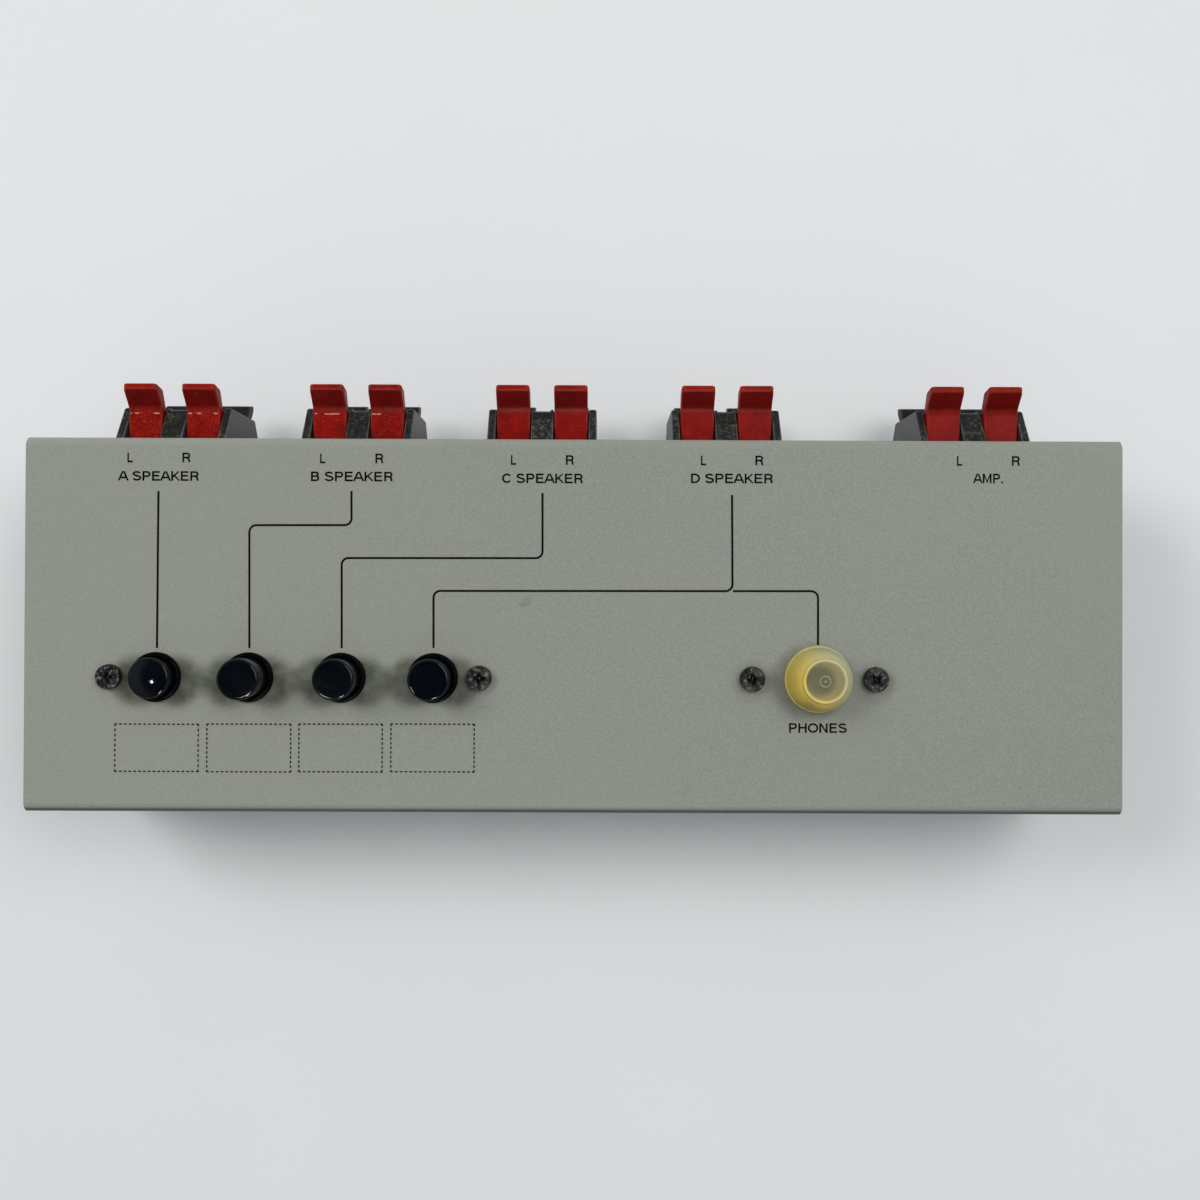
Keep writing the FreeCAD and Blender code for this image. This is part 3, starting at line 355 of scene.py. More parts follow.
def black_screw():
    """Black oxide on steel, rubbed bright in flecks and dusty, painted near-black in its cross recess."""
    f = Finish("black_screw")
    rub = f.smooth(f.noise(0.8, 5.0, roughness=0.75), 0.53, 0.62)
    dust = f.smooth(f.noise(0.4, 4.0), 0.5, 0.72)
    recess = f.attribute("recess")
    base = f.tint(dust * 0.18, paint(9, 10, 9), paint(74, 77, 66))
    base = f.tint(rub * 0.48, base, paint(144, 147, 140))
    # The cross recess is painted near-black.
    base = f.tint(recess * 0.85, base, paint(6, 6, 6))
    rough = 0.34 + 0.3 * dust
    return f.done(Base_Color=base, Roughness=rough, Metallic=(0.2 + 0.5 * rub) * (1 - recess),
                  Normal=f.relief(f.noise(0.5, 4.0), 0.03), Specular_IOR_Level=0.3)


def zinc_steel():
    """Bright zinc plate, a little clouded."""
    f = Finish("zinc_steel")
    cloud = f.noise(2.4, 4.0)
    base = f.tint(f.smooth(cloud, 0.35, 0.7), paint(168, 171, 172), paint(204, 205, 202))
    rough = 0.28 + 0.2 * cloud
    return f.done(Base_Color=base, Roughness=rough, Metallic=1.0,
                  Normal=f.relief(f.noise(0.6, 3.0), 0.006))


def spring_steel():
    """Drawn spring wire."""
    f = Finish("spring_steel")
    drawn = f.noise(0.5, 4.0, stretch=(0.5, 0.5, 4.0))
    base = f.tint(drawn, paint(120, 121, 124), paint(176, 177, 178))
    return f.done(Base_Color=base, Roughness=0.25 + 0.2 * drawn, Metallic=1.0,
                  Normal=f.relief(drawn, 0.004))


def tinned_contact():
    """Tinned phosphor bronze, warm where the tin has worn."""
    f = Finish("tinned_contact")
    worn = f.smooth(f.noise(1.4, 5.0), 0.55, 0.7)
    base = f.tint(worn, paint(198, 197, 190), paint(178, 142, 96))
    return f.done(Base_Color=base, Roughness=0.3 + 0.15 * worn, Metallic=1.0,
                  Normal=f.relief(f.noise(0.5, 3.0), 0.004))


def slider_white():
    """Natural acetal of the switch sliders."""
    f = Finish("slider_white")
    base = f.tint(f.noise(2.0, 3.0), paint(214, 211, 198), paint(230, 228, 218))
    return f.done(Base_Color=base, Roughness=0.4 + 0.12 * f.noise(0.7, 3.0), Subsurface_Weight=0.15,
                  Subsurface_Scale=1.0 * MM, Normal=f.relief(f.noise(0.9, 3.0), 0.006))


def plain_moulding(name, dark, light, rough):
    """Black thermoplastic with a fine spark-eroded grain."""
    f = Finish(name)
    grain = f.noise(0.35, 4.0)
    base = f.tint(f.smooth(grain, 0.3, 0.75), dark, light)
    base = f.tint(f.upward * f.smooth(f.noise(1.2, 4.0), 0.5, 0.75) * 0.25, base, paint(120, 118, 110))
    return f.done(Base_Color=base, Roughness=rough + 0.12 * grain, Normal=f.relief(grain, 0.012))


def aged_cap():
    """Yellowed clear vinyl, amber towards the left and front, greenish and paler towards the right and
    rear, with painted shade in the dish and a painted highlight on the lip.
    """
    f = Finish("aged_cap")
    side = (f.x - JACK_X) * 0.075 + (f.y - ROW) * 0.045
    drift = side + 0.6 * f.noise(5.5, 3.0) - 0.3
    dome = f.smooth(f.z, PANEL + 0.9, PANEL + 1.2)
    lip = f.smooth(f.z, PANEL + 8.72, PANEL + 8.9)
    base = f.tint(f.smooth(drift, -0.45, 0.5), paint(202, 176, 76), paint(174, 172, 138))
    base = f.tint(0.5 - 0.5 * dome, base, paint(182, 174, 112))
    base = f.tint(f.smooth(f.noise(2.2, 4.0), 0.52, 0.72) * 0.3, base, paint(204, 178, 98))
    # A brown patch low on the front left of the cap.
    brown_patch = f.near((JACK_X - 3.2, ROW - 5.6), 0.6, 2.4) * f.smooth(f.noise(0.9, 4.0), 0.36, 0.6)
    base = f.tint(brown_patch * 0.5, base, paint(122, 92, 40))
    # Painted shade: the dish is painted darker, and the jack's hole beneath it darker still, as seen
    # through the vinyl.
    dish = f.near((JACK_X, ROW), 3.85, 0.2) * f.smooth(f.z, PANEL + 7.5, PANEL + 8.2)
    base = f.tint(dish * 0.7, base, paint(122, 110, 58))
    painted_hole_shade = f.near((JACK_X - 1.1, ROW + 0.1), 2.3, 1.8) * dish
    base = f.tint(painted_hole_shade * 0.85, base, paint(84, 88, 58))
    # A painted highlight: the lip is painted lighter.
    base = f.tint(lip * (1 - f.near((JACK_X, ROW), 3.9, 0.2)) * 0.3, base, paint(224, 214, 146))
    gate = f.near((JACK_X, ROW), 1.3, 0.1) * f.smooth(f.z, PANEL + 8.52, PANEL + 8.6)
    base = f.tint(gate * 0.5, base, paint(186, 186, 138))
    rough = 0.3 + 0.25 * f.noise(1.1, 4.0)
    return f.done(Base_Color=base, Roughness=rough, Normal=f.relief(f.noise(1.3, 4.0), 0.03),
                  Subsurface_Weight=0.5, Subsurface_Radius=(1.0, 0.85, 0.5),
                  Subsurface_Scale=1.2 * MM, IOR=1.45)


def board_resin():
    """Brown phenolic paper board, darker in its fibres, with tinned pads along the terminals."""
    f = Finish("board_resin")
    fibre = f.noise(0.6, 5.0, stretch=(0.3, 2.0, 1.0))
    base = f.tint(fibre, paint(124, 86, 42), paint(168, 128, 72))
    copper = f.smooth(f.noise(9.0, 2.0, stretch=(0.5, 1.2, 1.0)), 0.53, 0.55) * f.downward
    base = f.tint(copper, base, paint(96, 104, 54))
    return f.done(Base_Color=base, Roughness=0.42 + 0.2 * fibre, Normal=f.relief(fibre, 0.01))


def resistor_body():
    """Fawn lacquer with four colour bands."""
    f = Finish("resistor_body")
    along = f.x - middle_of("phones_resistors").x
    lead = f.smooth(along * along, 36.2, 36.6)
    base = f.tint(f.noise(0.8, 4.0), paint(196, 170, 122), paint(212, 188, 142))
    bands = ((-3.6, paint(120, 60, 28)), (-1.9, paint(24, 24, 24)), (-0.2, paint(120, 60, 28)),
             (3.2, paint(190, 150, 60)))
    for centre, colour in bands:
        off = along - centre
        base = f.tint(f.smooth(off * off, 0.42, 0.32), base, colour)
    base = f.tint(lead, base, paint(200, 198, 190))
    return f.done(Base_Color=base, Roughness=0.35 + 0.15 * f.noise(0.6, 3.0), Metallic=lead,
                  Normal=f.relief(f.noise(0.7, 3.0), 0.01))


def foot_rubber():
    """Matt black rubber, greyed by dust where it meets the table."""
    f = Finish("foot_rubber")
    bloom = f.smooth(f.noise(1.0, 5.0), 0.45, 0.75)
    base = f.tint(bloom * 0.5, paint(24, 24, 25), paint(74, 72, 68))
    return f.done(Base_Color=base, Roughness=0.75 + 0.15 * bloom, Normal=f.relief(f.noise(0.5, 4.0), 0.03))


def print_ink():
    """Screen-printed black ink, thin enough for the enamel's grain to show."""
    f = Finish("print_ink")
    thin = f.noise(0.35, 4.0)
    base = f.tint(f.smooth(thin, 0.65, 0.85) * 0.12, paint(3, 3, 4), paint(84, 87, 82))
    return f.done(Base_Color=base, Roughness=0.55 + 0.15 * thin, Normal=f.relief(thin, 0.004),
                  Specular_IOR_Level=0.08)


# The last colour of each lever plastic is its painted shade on faces turned to the front.
red_plastic = lever_plastic("lever_red", paint(118, 7, 4), paint(141, 13, 7), paint(168, 76, 50),
                            paint(200, 94, 64), paint(78, 4, 3))
black_plastic = lever_plastic("lever_black", paint(19, 20, 22), paint(30, 31, 33), paint(84, 84, 80),
                              paint(78, 80, 82), paint(14, 15, 17))
FINISHES = {
    "grey_paint": grey_paint(),
    "foot_rubber": foot_rubber(),
    "black_screw": black_screw(),
    "zinc_steel": zinc_steel(),
    "button_black": glossy_black(),
    "bezel_black": bezel_black(),
    "slider_white": slider_white(),
    "switch_plastic": plain_moulding("switch_plastic", paint(26, 27, 29), paint(40, 41, 43), 0.5),
    "spring_steel": spring_steel(),
    "block_black": moulded_black(),
    "contact_metal": tinned_contact(),
    "lever_red": red_plastic,
    "lever_black": black_plastic,
    "jack_black": plain_moulding("jack_black", paint(20, 20, 22), paint(34, 34, 36), 0.38),
    "aged_cap": aged_cap(),
    "board_resin": board_resin(),
    "resistor_body": resistor_body(),
}
ink = print_ink()


# ---- Making pieces -------------------------------------------------------------------------------
CREASE = 35.0
ON_AXIS = 1e-6


def evaluated_mesh(made):
    """The mesh of an object with its modifiers applied; the object goes."""
    made_now = made.evaluated_get(bpy.context.evaluated_depsgraph_get())
    mesh = bpy.data.meshes.new_from_object(made_now)
    bpy.data.objects.remove(made)
    return mesh


def loose_object(name, data):
    """An object linked into the scene, not yet a piece."""
    made = bpy.data.objects.new(name, data)
    bpy.context.scene.collection.objects.link(made)
    return made


def as_mesh(shape, name="shape"):
    """The mesh of a bmesh, which goes."""
    mesh = bpy.data.meshes.new(name)
    shape.to_mesh(mesh)
    shape.free()
    return mesh


def combined(made, operation, other, crossing=False):
    """The mesh of an object cut by another or united with it; both objects go.

    Crossing is for another that crosses itself.
    """
    step = made.modifiers.new("combined", "BOOLEAN")
    step.operation = operation
    step.solver = "EXACT"
    step.use_self = crossing
    step.object = other
    mesh = evaluated_mesh(made)
    bpy.data.objects.remove(other)
    return mesh


def well_shaded(mesh, crease=CREASE):
    """Smooth shading that keeps flat faces flat and edges over the crease angle sharp."""
    mesh.shade_smooth()
    mesh.set_sharp_from_angle(angle=math.radians(crease))
    made = loose_object("shading", mesh)
    weighting = made.modifiers.new("weighted", "WEIGHTED_NORMAL")
    weighting.keep_sharp = True
    return evaluated_mesh(made)


def piece(name, mesh, finish, body="case", stands_for=()):
    """A finished piece: its material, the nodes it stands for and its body."""
    mesh.name = name
    mesh.materials.clear()
    mesh.materials.append(finish)
    made = loose_object(name, mesh)
    if stands_for:
        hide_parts(*stands_for)
    if body:
        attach(made, body)
    return made


def for_node(name, node, mesh):
    """A piece that stands for one CAD node, with the finish of that node's slot and that node's body."""
    slot = SLOT_OF[node]
    return piece(name, mesh, FINISHES[slot], BODY_OF[node], [node])


# Rounding over: corners within a distance are merged, faces within an angle are one, and edges sharper
# than an angle are rounded; distances in mm and angles in degrees.
MERGE_WITHIN = 0.003
FLAT_WITHIN = 0.6
SHARPER_THAN = 28.0
SPECK = 0.0005


def softened(node, width, outside=None, segments=2):
    """A copy of a CAD node's mesh with its sharp edges rounded over, where outside(middle) allows."""
    shape = bmesh.new()
    shape.from_mesh(nodes[node].data)
    edge_mark = shape.faces.layers.float.new("edge")
    bmesh.ops.remove_doubles(shape, verts=shape.verts, dist=MERGE_WITHIN * MM)
    bmesh.ops.dissolve_limit(shape, angle_limit=math.radians(FLAT_WITHIN), verts=shape.verts,
                             edges=shape.edges)
    sharp = []
    for edge in shape.edges:
        middle = (edge.verts[0].co + edge.verts[1].co) / 2 / MM
        if len(edge.link_faces) != 2 or (outside and not outside(middle)):
            continue
        if edge.calc_face_angle(0.0) > math.radians(SHARPER_THAN):
            sharp.append(edge)
    result = bmesh.ops.bevel(shape, geom=sharp, offset=width * MM, segments=segments, profile=0.5,
                             affect="EDGES", clamp_overlap=True)
    for face in result["faces"]:
        face[edge_mark] = 1.0
    bmesh.ops.dissolve_degenerate(shape, dist=SPECK * MM, edges=shape.edges)
    return well_shaded(as_mesh(shape))


def wrap(shape, first, second):
    """Faces between two closed loops of corners; either loop may be a single corner."""
    count = max(len(first), len(second))
    if count == 1:
        return
    for n in range(count):
        m = (n + 1) % count
        corners = (first[n % len(first)], first[m % len(first)],
                   second[m % len(second)], second[n % len(second)])
        shape.faces.new(tuple(dict.fromkeys(corners)))


def turned(outline, at, steps=64):
    """A closed (r, z) outline turned about an upright axis through the point at."""
    shape = bmesh.new()
    angles = [2 * math.pi * n / steps for n in range(steps)]
    rings = []
    for r, z in outline:
        if r < ON_AXIS:
            rings.append([shape.verts.new((at[0] * MM, at[1] * MM, z * MM))])
        else:
            rings.append([shape.verts.new(((at[0] + r * math.cos(angle)) * MM,
                                           (at[1] + r * math.sin(angle)) * MM, z * MM))
                          for angle in angles])
    for first, second in zip(rings, rings[1:] + rings[:1]):
        wrap(shape, first, second)
    bmesh.ops.recalc_face_normals(shape, faces=shape.faces)
    return well_shaded(as_mesh(shape))


def arc(centre, wide, start, end, steps, high=None):
    """Points of a round or oval arc in an outline, both ends included; angles in degrees."""
    high = wide if high is None else high
    angles = [math.radians(start + (end - start) * n / steps) for n in range(steps + 1)]
    return [(centre[0] + wide * math.cos(a), centre[1] + high * math.sin(a)) for a in angles]


def joined(meshes):
    """One mesh of several."""
    shape = bmesh.new()
    for mesh in meshes:
        shape.from_mesh(mesh)
        bpy.data.meshes.remove(mesh)
    return as_mesh(shape, "joined")


def loop_at(shape, corners, height):
    """A loop of (x, y) corners at one height."""
    return [shape.verts.new((x * MM, y * MM, height * MM)) for x, y in corners]


def prism(corners, low, high):
    """A flat outline of (x, y) corners between two heights, as a bmesh."""
    shape = bmesh.new()
    foot = loop_at(shape, corners, low)
    head = loop_at(shape, corners, high)
    shape.faces.new(foot[::-1])
    shape.faces.new(head)
    wrap(shape, foot, head)
    bmesh.ops.recalc_face_normals(shape, faces=shape.faces)
    return shape


# ---- Patterns ------------------------------------------------------------------------------------
# Steps round the corner of a printed line and round a turn of a coil, and sides of a coil's wire.
CORNER_STEPS = 8
COIL_STEPS = 40
WIRE_SIDES = 10


class Pattern(Graph):
    """A geometry node tree with named inputs, ended by Realize Instances and Set Material."""

    def __init__(self, name, **inputs):
        tree = bpy.data.node_groups.new(name, "GeometryNodeTree")
        super().__init__(tree)
        tree.interface.new_socket("Geometry", in_out="INPUT", socket_type="NodeSocketGeometry")
        for label, kind in inputs.items():
            tree.interface.new_socket(label, in_out="INPUT", socket_type=kind)
        tree.interface.new_socket("Geometry", in_out="OUTPUT", socket_type="NodeSocketGeometry")
        self.start = self.node("NodeGroupInput", out="Geometry")

    def given(self, name):
        return self.start.out(name)

    def ends(self, geometry):
        whole = self.node("GeometryNodeRealizeInstances", None, {"Geometry": geometry})
        whole = self.node("GeometryNodeSetMaterial", None,
                          {"Geometry": whole, "Material": self.given("Finish")})
        self.node("NodeGroupOutput", None, {"Geometry": whole})
        return self

    def grown(self, mesh, **values):
        """The mesh that the tree makes of the given one."""
        made = loose_object("pattern", mesh)
        growth = made.modifiers.new("growth", "NODES")
        growth.node_group = self.tree
        sockets = {item.name: item.identifier for item in self.tree.interface.items_tree
                   if item.item_type == "SOCKET" and item.in_out == "INPUT"}
        for name, value in values.items():
            growth[sockets[name]] = value
        return evaluated_mesh(made)


def screw_rows():
    """A screw at every point, each spun about its own axis by a seeded amount, then all turned at once."""
    p = Pattern("screw_rows", Screw="NodeSocketObject", Spin="NodeSocketInt", Turn="NodeSocketVector",
                Finish="NodeSocketMaterial")
    model = p.node("GeometryNodeObjectInfo", None, {"Object": p.given("Screw")}, out="Geometry")
    spin = p.node("FunctionNodeRandomValue", {"data_type": "FLOAT"},
                  {2: 0.0, 3: math.pi, "Seed": p.given("Spin")}, out=1)
    about = p.node("ShaderNodeCombineXYZ", None, {"X": 0.0, "Y": 0.0, "Z": spin})
    screws = p.node("GeometryNodeInstanceOnPoints", None,
                    {"Points": p.start, "Instance": model, "Rotation": about})
    placed = p.node("GeometryNodeTransform", None,
                    {"Geometry": screws, "Rotation": p.given("Turn")})
    return p.ends(placed)


def routed_lines():
    """A flat printed line along each run of points, its corners rounded."""
    p = Pattern("routed_lines", Width="NodeSocketFloat", Thickness="NodeSocketFloat",
                Corner="NodeSocketFloat", Finish="NodeSocketMaterial")
    run = p.node("GeometryNodeMeshToCurve", None, {"Mesh": p.start})
    run = p.node("GeometryNodeFilletCurve", {"mode": "POLY"},
                 {"Curve": run, "Count": CORNER_STEPS, "Radius": p.given("Corner"), "Limit Radius": True})
    run = p.node("GeometryNodeSetCurveNormal", {"mode": "Z_UP"}, {"Curve": run})
    nib = p.node("GeometryNodeCurvePrimitiveQuadrilateral", {"mode": "RECTANGLE"},
                 {"Width": p.given("Width"), "Height": p.given("Thickness")})
    line = p.node("GeometryNodeCurveToMesh", None,
                  {"Curve": run, "Profile Curve": nib, "Fill Caps": True})
    return p.ends(line)


def dashed_lines():
    """Dashes at an even pitch along each run of points."""
    p = Pattern("dashed_lines", Dash="NodeSocketFloat", Width="NodeSocketFloat",
                Thickness="NodeSocketFloat", Pitch="NodeSocketFloat", Finish="NodeSocketMaterial")
    run = p.node("GeometryNodeMeshToCurve", None, {"Mesh": p.start})
    steps = p.node("GeometryNodeResampleCurve", {"mode": "LENGTH"},
                   {"Curve": run, "Length": p.given("Pitch")})
    along = p.node("GeometryNodeInputTangent")
    aim = p.node("FunctionNodeAlignRotationToVector", {"axis": "X"}, {"Vector": along})
    size = p.node("ShaderNodeCombineXYZ", None,
                  {"X": p.given("Dash"), "Y": p.given("Width"), "Z": p.given("Thickness")})
    dash = p.node("GeometryNodeMeshCube", None, {"Size": size})
    dashes = p.node("GeometryNodeInstanceOnPoints", None,
                    {"Points": steps, "Instance": dash, "Rotation": aim})
    return p.ends(dashes)


def wound_wire():
    """A round wire wound upwards from the origin's plane, its ends capped."""
    p = Pattern("wound_wire", Radius="NodeSocketFloat", Rise="NodeSocketFloat", Turns="NodeSocketFloat",
                Wire="NodeSocketFloat", Finish="NodeSocketMaterial")
    run = p.node("GeometryNodeCurveSpiral", None,
                 {"Resolution": COIL_STEPS, "Rotations": p.given("Turns"),
                  "Start Radius": p.given("Radius"), "End Radius": p.given("Radius"),
                  "Height": p.given("Rise")})
    nib = p.node("GeometryNodeCurvePrimitiveCircle", {"mode": "RADIUS"},
                 {"Resolution": WIRE_SIDES, "Radius": p.given("Wire")})
    wire = p.node("GeometryNodeCurveToMesh", None,
                  {"Curve": run, "Profile Curve": nib, "Fill Caps": True})
    return p.ends(wire)


def points_mesh(spots, runs=()):
    """A mesh of loose points, with edges along the given runs of point numbers."""
    mesh = bpy.data.meshes.new("points")
    edges = [pair for run in runs for pair in zip(run, run[1:])]
    mesh.from_pydata([Vector(spot) * MM for spot in spots], edges, [])
    return mesh


def runs_mesh(runs, height):
    """A mesh of separate runs of (x, y) points at one height."""
    spots, numbers = [], []
    for run in runs:
        numbers.append(range(len(spots), len(spots) + len(run)))
        spots += [(x, y, height) for x, y in run]
    return points_mesh(spots, numbers)


# ---- Case ----------------------------------------------------------------------------------------
SHEET_ROUND = 0.16
FOOT_ROUND = 0.35
# The feet's edges above this height lie against the tray and stay sharp.
FOOT_FREE = 2.9
for_node("cover", "top_cover", softened("top_cover", SHEET_ROUND))
for_node("tray", "base_tray", softened("base_tray", SHEET_ROUND))
for_node("feet", "rubber_feet", softened("rubber_feet", FOOT_ROUND, outside=lambda m: m.z < FOOT_FREE))

# ---- Screws --------------------------------------------------------------------------------------
HEAD_RADIUS = 2.75
HEAD_FOOT = ((0.0, 0.12), (0.1, 0.0))
# Radius in mm and share of the head's height, over the flat of the crown.
HEAD_CROWN = ((0.0, 1.0), (0.6, 0.995), (1.2, 0.97))
# The corner from crown to side: shares of the head's height, how far it curves in, degrees round it.
CORNER_TOP = 0.93
CORNER_FOOT = 0.42
CORNER_REACH = 0.35
CORNER_ANGLES = (62, 45, 30, 16, 5)
CORNER_FULLNESS = 0.8
SIDE_TOP = 0.8
THREAD_RADIUS = 1.47
THREAD_CORE = 1.2
THREAD_PITCH = 0.5
THREAD_START = 0.3
THREAD_END = 0.5
SHANK_CHAMFER = 0.35
CROSS_HALF = 0.48
CROSS_REACH = 1.6
CROSS_DEPTH = 1.2
CROSS_OVER = 0.4
# What is left of an arm's length and width at the recess's floor.
CROSS_TAPER = (0.45, 0.6)
UPWARD = (0, 0, 0)
REARWARD = (-math.pi / 2, 0, 0)
DOWNWARD = (math.pi, 0, 0)
rows = screw_rows()


def cross_cutter(head):
    """Two crossed arms that narrow downwards, for the recess of a head of that height."""
    arms = []
    for quarter in (0, 1):
        arm = prism([(-CROSS_REACH, -CROSS_HALF), (CROSS_REACH, -CROSS_HALF),
                     (CROSS_REACH, CROSS_HALF), (-CROSS_REACH, CROSS_HALF)],
                    head - CROSS_DEPTH, head + CROSS_OVER)
        for vert in arm.verts:
            if vert.co.z < head * MM:
                vert.co.x *= CROSS_TAPER[0]
                vert.co.y *= CROSS_TAPER[1]
        arms.append(as_mesh(arm))
        arms[-1].transform(Matrix.Rotation(quarter * math.pi / 2, 4, "Z"))
    return loose_object("cross", joined(arms))


def screw_model(head, length):
    """A pan-head screw standing on the origin's plane: rounded head, cross recess and threaded shank."""
    shoulder = head * CORNER_FOOT
    outline = [(radius, head * share) for radius, share in HEAD_CROWN]
    outline += [(HEAD_RADIUS - CORNER_REACH + CORNER_REACH * math.cos(math.radians(a)),
                 shoulder + (head * CORNER_TOP - shoulder) * math.sin(math.radians(a)) ** CORNER_FULLNESS)
                for a in CORNER_ANGLES]
    outline += [(HEAD_RADIUS, shoulder * SIDE_TOP)]
    outline += [(HEAD_RADIUS - inset, height) for inset, height in HEAD_FOOT]
    outline += [(THREAD_CORE, 0.0)]
    for n in range(int((length - THREAD_START - THREAD_END) / THREAD_PITCH)):
        low = -THREAD_START - n * THREAD_PITCH
        outline += [(THREAD_CORE, low), (THREAD_RADIUS, low - THREAD_PITCH / 2)]
    outline += [(THREAD_CORE, -length + SHANK_CHAMFER), (THREAD_CORE - SHANK_CHAMFER, -length),
                (0.0, -length)]
    plain = loose_object("screw", turned(outline, (0, 0), steps=32))
    mesh = combined(plain, "DIFFERENCE", cross_cutter(head), crossing=True)
    mark = mesh.attributes.new("recess", "FLOAT", "FACE")
    for face in mesh.polygons:
        reach = math.hypot(face.center.x, face.center.y)
        if reach < CROSS_REACH * MM and 0 < face.center.z < CORNER_TOP * head * MM:
            mark.data[face.index].value = 1.0
    return loose_object("screw_model", well_shaded(mesh))


def screw_set(name, node, head, length, spots, turn, seed):
    """All the screws of a CAD node, stood at their spots and turned together; the seed spins each."""
    model = screw_model(head, length)
    mesh = rows.grown(points_mesh(spots), Screw=model, Spin=seed, Turn=turn,
                      Finish=FINISHES[SLOT_OF[node]])
    bpy.data.objects.remove(model)
    return for_node(name, node, mesh)


panel_x = [BANK_X - BANK_SCREW_OFFSET, BANK_X + BANK_SCREW_OFFSET]
panel_x += [JACK_X + offset for offset in JACK_SCREWS]
panel_spots = [(x, ROW, PANEL) for x in panel_x]
# The next two sets are turned about the x axis with their spots, which are given before that turn.
terminal_spots = [(x + side * TERMINAL_SCREW_OFFSET, -BLOCK_MID, REAR)
                  for x in BLOCK_X.values() for side in (-1, 1)]
foot_spots = [(x, -y, -FOOT_SEAT) for x in (-FOOT_X, FOOT_X) for y in FOOT_Y]
# Piece, CAD node, height of the head, length of the shank, spots, turn and seed.
for screw_row in (
        ("panel_screw_heads", "panel_screws", 2.0, 6.0, panel_spots, UPWARD, 5),
        ("block_screw_heads", "terminal_screws", 1.8, 6.5, terminal_spots, REARWARD, 3),
        ("foot_screw_heads", "foot_screws", 1.5, 6.0, foot_spots, DOWNWARD, 8)):
    screw_set(*screw_row)

# ---- Buttons -------------------------------------------------------------------------------------
BUTTON_RADIUS = 4.4
BUTTON_WALL = 0.9
BUTTON_CAVITY = 8.0
BUTTON_CHAMFER = 0.2
RIM = 0.55
# Button A is slightly domed, and the others are flat.
CROWN_DROP = {"a": 0.45, "b": 0.0, "c": 0.0, "d": 0.0}
CROWN_PARTS = (0.0, 0.2, 0.4, 0.6, 0.8, 0.93, 0.985)
crown_radius = BUTTON_RADIUS - RIM
bore = BUTTON_RADIUS - BUTTON_WALL
for name, spot in BUTTONS.items():
    low, high = box_of(f"button_{name}")
    top, bottom = high.z, low.z
    drop = CROWN_DROP[name]
    slope = math.degrees(math.atan(2 * drop / crown_radius))
    outline = [(crown_radius * part, top - drop * part ** 2) for part in CROWN_PARTS]
    outline += arc((crown_radius, top - drop - RIM * math.cos(math.radians(slope))), RIM, 90 - slope, 0, 7)
    outline += [(BUTTON_RADIUS, bottom + BUTTON_CHAMFER), (BUTTON_RADIUS - BUTTON_CHAMFER, bottom),
                (bore, bottom), (bore, bottom + BUTTON_CAVITY), (0.0, bottom + BUTTON_CAVITY)]
    for_node(f"push_button_{name}", f"button_{name}", turned(outline, (spot.x, spot.y), steps=72))

# ---- Button rings --------------------------------------------------------------------------------
RING_INNER = 4.5
RING_OUTER = 5.4
RING_SLEEVE = 4.95
RING_INNER_ROUND = 0.3
RING_OUTER_ROUND = 0.5
RING_BORE_END = 0.45
ring_low, ring_high = box_of("button_bezels")
ring_foot, ring_top = ring_low.z, ring_high.z
ring_outline = [(RING_INNER, ring_foot), (RING_INNER, ring_top - RING_BORE_END)]
ring_outline += arc((RING_INNER + RING_INNER_ROUND, ring_top - RING_INNER_ROUND),
                    RING_INNER_ROUND, 180, 90, 4)
ring_outline += arc((RING_OUTER - RING_OUTER_ROUND, ring_top - RING_OUTER_ROUND),
                    RING_OUTER_ROUND, 90, 0, 5)
ring_outline += [(RING_OUTER, PANEL), (RING_SLEEVE, PANEL), (RING_SLEEVE, ring_foot)]
for_node("button_rings", "button_bezels",
         joined([turned(ring_outline, (spot.x, spot.y)) for spot in BUTTONS.values()]))

# ---- Return springs ------------------------------------------------------------------------------
SPRING_WIRE_RADIUS = 0.28
SPRING_TURNS = 3.0
SPRING_SLACK = 0.02
COIL_CREASE = 60.0
winding = wound_wire()
for name, spot in BUTTONS.items():
    node = f"return_spring_{name}"
    slot = SLOT_OF[node]
    low, high = box_of(node)
    coil = winding.grown(points_mesh([(0, 0, 0)]), Wire=SPRING_WIRE_RADIUS * MM, Turns=SPRING_TURNS,
                         Radius=((high.x - low.x) / 2 - SPRING_WIRE_RADIUS - SPRING_SLACK) * MM,
                         Rise=(high.z - low.z - 2 * SPRING_WIRE_RADIUS) * MM, Finish=FINISHES[slot])
    coil.transform(Matrix.Translation(Vector((spot.x, spot.y, low.z + SPRING_WIRE_RADIUS)) * MM))
    coil = well_shaded(coil, COIL_CREASE)
    spring = piece(f"coil_spring_{name}", coil, FINISHES[slot], None, [node])
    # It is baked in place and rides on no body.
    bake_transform(spring)

# ---- Dust cap ------------------------------------------------------------------------------------
CAP_INNER = 5.8
CAP_ROOF = 1.0
BRIM_ROUND = 0.35
BRIM_HEIGHT = 0.45
# Radius and height above the panel, up the outside of the dome.
CAP_WALL = ((6.95, 0.95), (6.8, 1.3), (6.78, 2.6), (6.7, 4.0), (6.5, 5.4), (6.2, 6.6), (5.75, 7.5),
            (5.2, 8.1), (4.8, 8.35))
LIP_RADIUS = 4.4
LIP_ROUND = 0.3
DISH_DEPTH = 0.5
# Radius and depth below the lip, and inside the roof.
CAP_DISH = ((4.05, 0.42), (3.8, DISH_DEPTH), (1.5, DISH_DEPTH), (0.0, DISH_DEPTH))
CAP_INSIDE = ((0.0, 0.0), (3.4, 0.0), (4.2, 0.5), (4.9, 1.6), (CAP_INNER - 0.15, 2.9), (CAP_INNER, 3.6))
